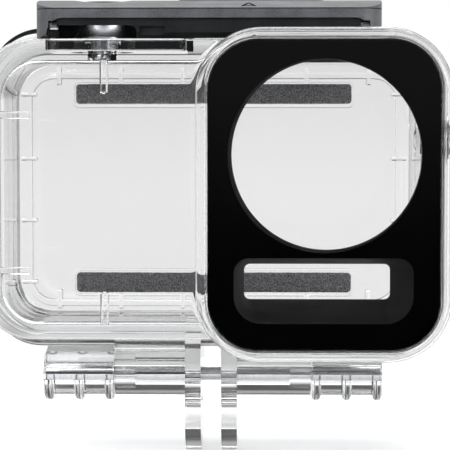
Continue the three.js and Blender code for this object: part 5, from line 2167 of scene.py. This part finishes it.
@dataclass
class Surroundings:
    """The world: white behind the object, with soft dark zones that draw the clear edges.

    A fade is a range of a direction's X, Y or Z, and the light at its two ends.
    """

    seen: Colour = (1.0, 1.0, 1.0, 1.0)
    even: Colour = (0.62, 0.63, 0.64, 1.0)
    straight: Fade = ((0.72, 0.9), WHOLE)
    side: Fade = ((0.86, 0.96), WHOLE)
    low: Fade = ((-0.35, -0.18), (1.0, 0.0))
    clear_gain: Pair = (0.2, 0.8)
    hazes: tuple[Fade, Fade] = (((-0.04, 0.025), (1.0, 0.92)), ((0.026, 0.042), (1.0, 0.92)))
    beside: Fade = ((0.12, 0.36), WHOLE)
    overhead: Fade = ((0.12, 0.28), (1.0, 0.08))
    top: Fade = ((0.5, 0.68), (0.0, 0.6))
    front: Fade = ((-0.25, 0.35), WHOLE)
    horizon: Fade = ((-0.09, 0.05), (0.0, 0.14))
    low_sky: Fade = ((0.07, 0.22), (0.0, 0.95))
    high_sky: Fade = ((0.5, 0.68), (1.0, 0.12))
    ground: Fade = ((-0.32, -0.17), (0.85, 0.0))
    ahead: Fade = ((-0.95, -0.75), (0.94, 0.0))
    matt_light: float = 0.85

    def _through(self, w: Wiring, x: Socket, y: Socket, z: Socket) -> Socket:
        """Wires the light that is seen through the clear plastic, and returns its brightness."""
        side = w.math("ABSOLUTE", x)
        depth = w.math("ABSOLUTE", y)
        open_way = w.math("MAXIMUM", w.ranged(depth, *self.straight), w.ranged(side, *self.side))
        clear_way = w.math("MAXIMUM", open_way, w.ranged(z, *self.low))
        flat = w.math("MULTIPLY_ADD", clear_way, *self.clear_gain)
        haze = w.math("MULTIPLY", *(w.ranged(z, *fade) for fade in self.hazes))
        beside = w.ranged(w.math("MINIMUM", side, depth), *self.beside)
        overhead = w.math("MAXIMUM", w.ranged(z, *self.overhead), beside)
        overhead = w.math("MAXIMUM", overhead, w.ranged(z, *self.top))
        return w.math("MULTIPLY", w.math("MULTIPLY", flat, haze), overhead)

    def _mirrored(self, w: Wiring, y: Socket, z: Socket) -> Socket:
        """Wires the light that shows in glossy surfaces, and returns its brightness."""
        sky = w.math("MULTIPLY", w.ranged(z, *self.low_sky), w.ranged(z, *self.high_sky))
        sky = w.math("MAXIMUM", w.ranged(z, *self.horizon), sky)
        sky = w.math("MAXIMUM", sky, w.ranged(z, *self.ground))
        return w.math("MAXIMUM", w.ranged(y, *self.front), sky)

    def build(self) -> None:
        """Makes the world and joins its light."""
        world = bpy.data.worlds.new("soft_surroundings")
        bpy.context.scene.world = world
        world.use_nodes = True
        w = Wiring(world.node_tree)
        background = world.node_tree.nodes["Background"]
        place = w.node("ShaderNodeTexCoord")
        split = w.node("ShaderNodeSeparateXYZ")
        w.link(place.outputs["Generated"], split.inputs[0])
        x, y, z = split.outputs
        rays = w.node("ShaderNodeLightPath")
        through = self._through(w, x, y, z)
        # Light turned back by the door meets the dark side of the room
        turned = w.math("MINIMUM", rays.outputs["Glossy Depth"], 1.0)
        ahead = w.math("MULTIPLY", turned, w.ranged(y, *self.ahead))
        through = w.math("MULTIPLY", through, w.math("SUBTRACT", 1.0, ahead))
        # Light thrown on by a matt surface meets a lighter room
        scattered = w.math("MINIMUM", rays.outputs["Diffuse Depth"], 1.0)
        through = w.math("MAXIMUM", through, w.math("MULTIPLY", scattered, self.matt_light))
        light = w.mixed(rays.outputs["Is Glossy Ray"], self.even, self._mirrored(w, y, z))
        light = w.mixed(rays.outputs["Is Transmission Ray"], light, through)
        light = w.mixed(rays.outputs["Is Camera Ray"], light, self.seen)
        w.link(light, background.inputs["Color"])
        background.inputs["Strength"].default_value = 1.0


@dataclass
class Studio:
    """The camera, the pale floor, the surrounding light and the lamps."""

    camera_place: Point = (0.0083, -0.3075, 0.0489)
    camera_aim: Point = (0.00231, 0.0, 0.03225)
    lens: float = 139.7
    floor_level: float = -0.0076
    floor_radius: float = 0.125
    floor_rings: int = 24
    floor_sides: int = 96
    floor_tones: tuple[str, str] = ("#d2d3d4", "#d8d9da")

    def _camera(self) -> None:
        """Makes the scene's camera at the photograph's viewing angle."""
        data = bpy.data.cameras.new("front_camera")
        data.lens = self.lens
        data.sensor_width = 36.0
        data.clip_start = 0.01
        camera = bpy.data.objects.new("front_camera", data)
        camera.location = self.camera_place
        toward = Vector(self.camera_aim) - Vector(self.camera_place)
        camera.rotation_euler = toward.to_track_quat("-Z", "Y").to_euler()
        bpy.context.scene.collection.objects.link(camera)
        bpy.context.scene.camera = camera

    def _floor(self) -> None:
        """Makes the round pale floor, which keeps the object's shadow."""
        work = bmesh.new()
        loops = []
        for k in range(1, self.floor_rings + 1):
            r = self.floor_radius * k / self.floor_rings
            turns = (2 * math.pi * i / self.floor_sides for i in range(self.floor_sides))
            loops.append([
                work.verts.new((r * math.cos(a), r * math.sin(a), self.floor_level)) for a in turns
            ])
        work.faces.new(loops[0])
        for near, far in zip(loops, loops[1:]):
            for i, here in enumerate(near):
                j = (i + 1) % len(near)
                work.faces.new((here, far[i], far[j], near[j]))
        mesh = finished_mesh(work, "pale_floor")
        floor = bpy.data.objects.new("pale_floor", mesh)
        bpy.context.scene.collection.objects.link(floor)
        mesh.materials.append(self._floor_material())

    def _floor_material(self) -> bpy.types.Material:
        """Makes the floor's material: pale, with a soft light of its own for seen rays."""
        made = bpy.data.materials.new("pale_floor_paint")
        made.use_nodes = True
        w = Wiring(made.node_tree)
        shader = made.node_tree.nodes["Principled BSDF"]
        dark, light = (linear(tone) for tone in self.floor_tones)
        w.link(w.mixed(w.noise(w.place(), 30.0), dark, light), shader.inputs["Base Color"])
        shader.inputs["Roughness"].default_value = 0.9
        rays = w.node("ShaderNodeLightPath")
        seen = w.math("MAXIMUM", rays.outputs["Is Camera Ray"], rays.outputs["Is Transmission Ray"])
        mirrored = w.math("MULTIPLY", rays.outputs["Is Glossy Ray"], 0.6)
        seen = w.math("MAXIMUM", seen, mirrored)
        shader.inputs["Emission Color"].default_value = (1.0, 1.0, 1.0, 1.0)
        w.link(w.math("MULTIPLY", seen, 0.5), shader.inputs["Emission Strength"])
        return made

    def build(self) -> None:
        """Sets up the whole studio."""
        self._camera()
        self._floor()
        Surroundings().build()
        Lamp("key_softbox", (-0.32, -0.42, 0.55), (0.45, 0.45), 3.0).build()
        Lamp("fill_softbox", (0.5, -0.42, 0.06), (0.5, 0.5), 2.2).build()
        Lamp("top_softbox", (0.0, 0.12, 0.6), (0.6, 0.4), 3.0).build()
        bpy.context.scene.view_settings.view_transform = "Standard"


def buttons(layout: Layout) -> list[PushButton]:
    """Returns the shutter button on the top and the power button on the side."""
    shutter = PushButton(
        "shutter", Body.SHUTTER, "shutter_press", (layout.shutter_x, 0.0, layout.tub_top), Across.Z,
        wall=layout.shutter_wall, travel=1.5, cap_radius=4.2, cap_height=2.1, cap_finish=CAP_FINISH,
        cap_slot=Slot.LATCH, collar_radius=5.5, collar_land=0.8, collar_top_radius=3.6, collar_height=3.2,
        spigot_radius=2.4, spring_floor=1.2, spring_wire=0.45, seal_height=-0.2, seal_section=0.35,
        clip_pocket=1.3,
    )
    power = PushButton(
        "power", Body.POWER, "power_press", (layout.tub_x, 0.0, layout.power_z), Across.X,
        wall=layout.power_wall, travel=1.2, cap_radius=3.9, cap_height=1.5, cap_finish=COLLAR_FINISH,
        cap_slot=Slot.GREY_METAL, collar_radius=4.6, collar_land=0.45, collar_top_radius=4.1,
        collar_height=0.7, spigot_radius=3.2, spring_floor=-0.7, spring_wire=0.3, seal_height=-1.35,
        seal_section=0.32, clip_pocket=1.1, dish=0.2,
    )
    return [shutter, power]


def main() -> None:
    """Builds the studio and each sub-assembly in order, and logs each piece's face count."""
    logging.basicConfig(level=logging.INFO, format="%(name)s: %(message)s")
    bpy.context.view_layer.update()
    Studio().build()
    layout = Layout()
    for assembly in (
        ClearCase(layout), LensWindow(layout), RearDoor(layout), HingePin(layout), Latch(layout),
        LockSlide(layout), *buttons(layout),
    ):
        for piece in assembly.build():
            LOG.info("%s: %d faces", piece.name, len(piece.data.polygons))


if __name__ == "__main__":
    main()
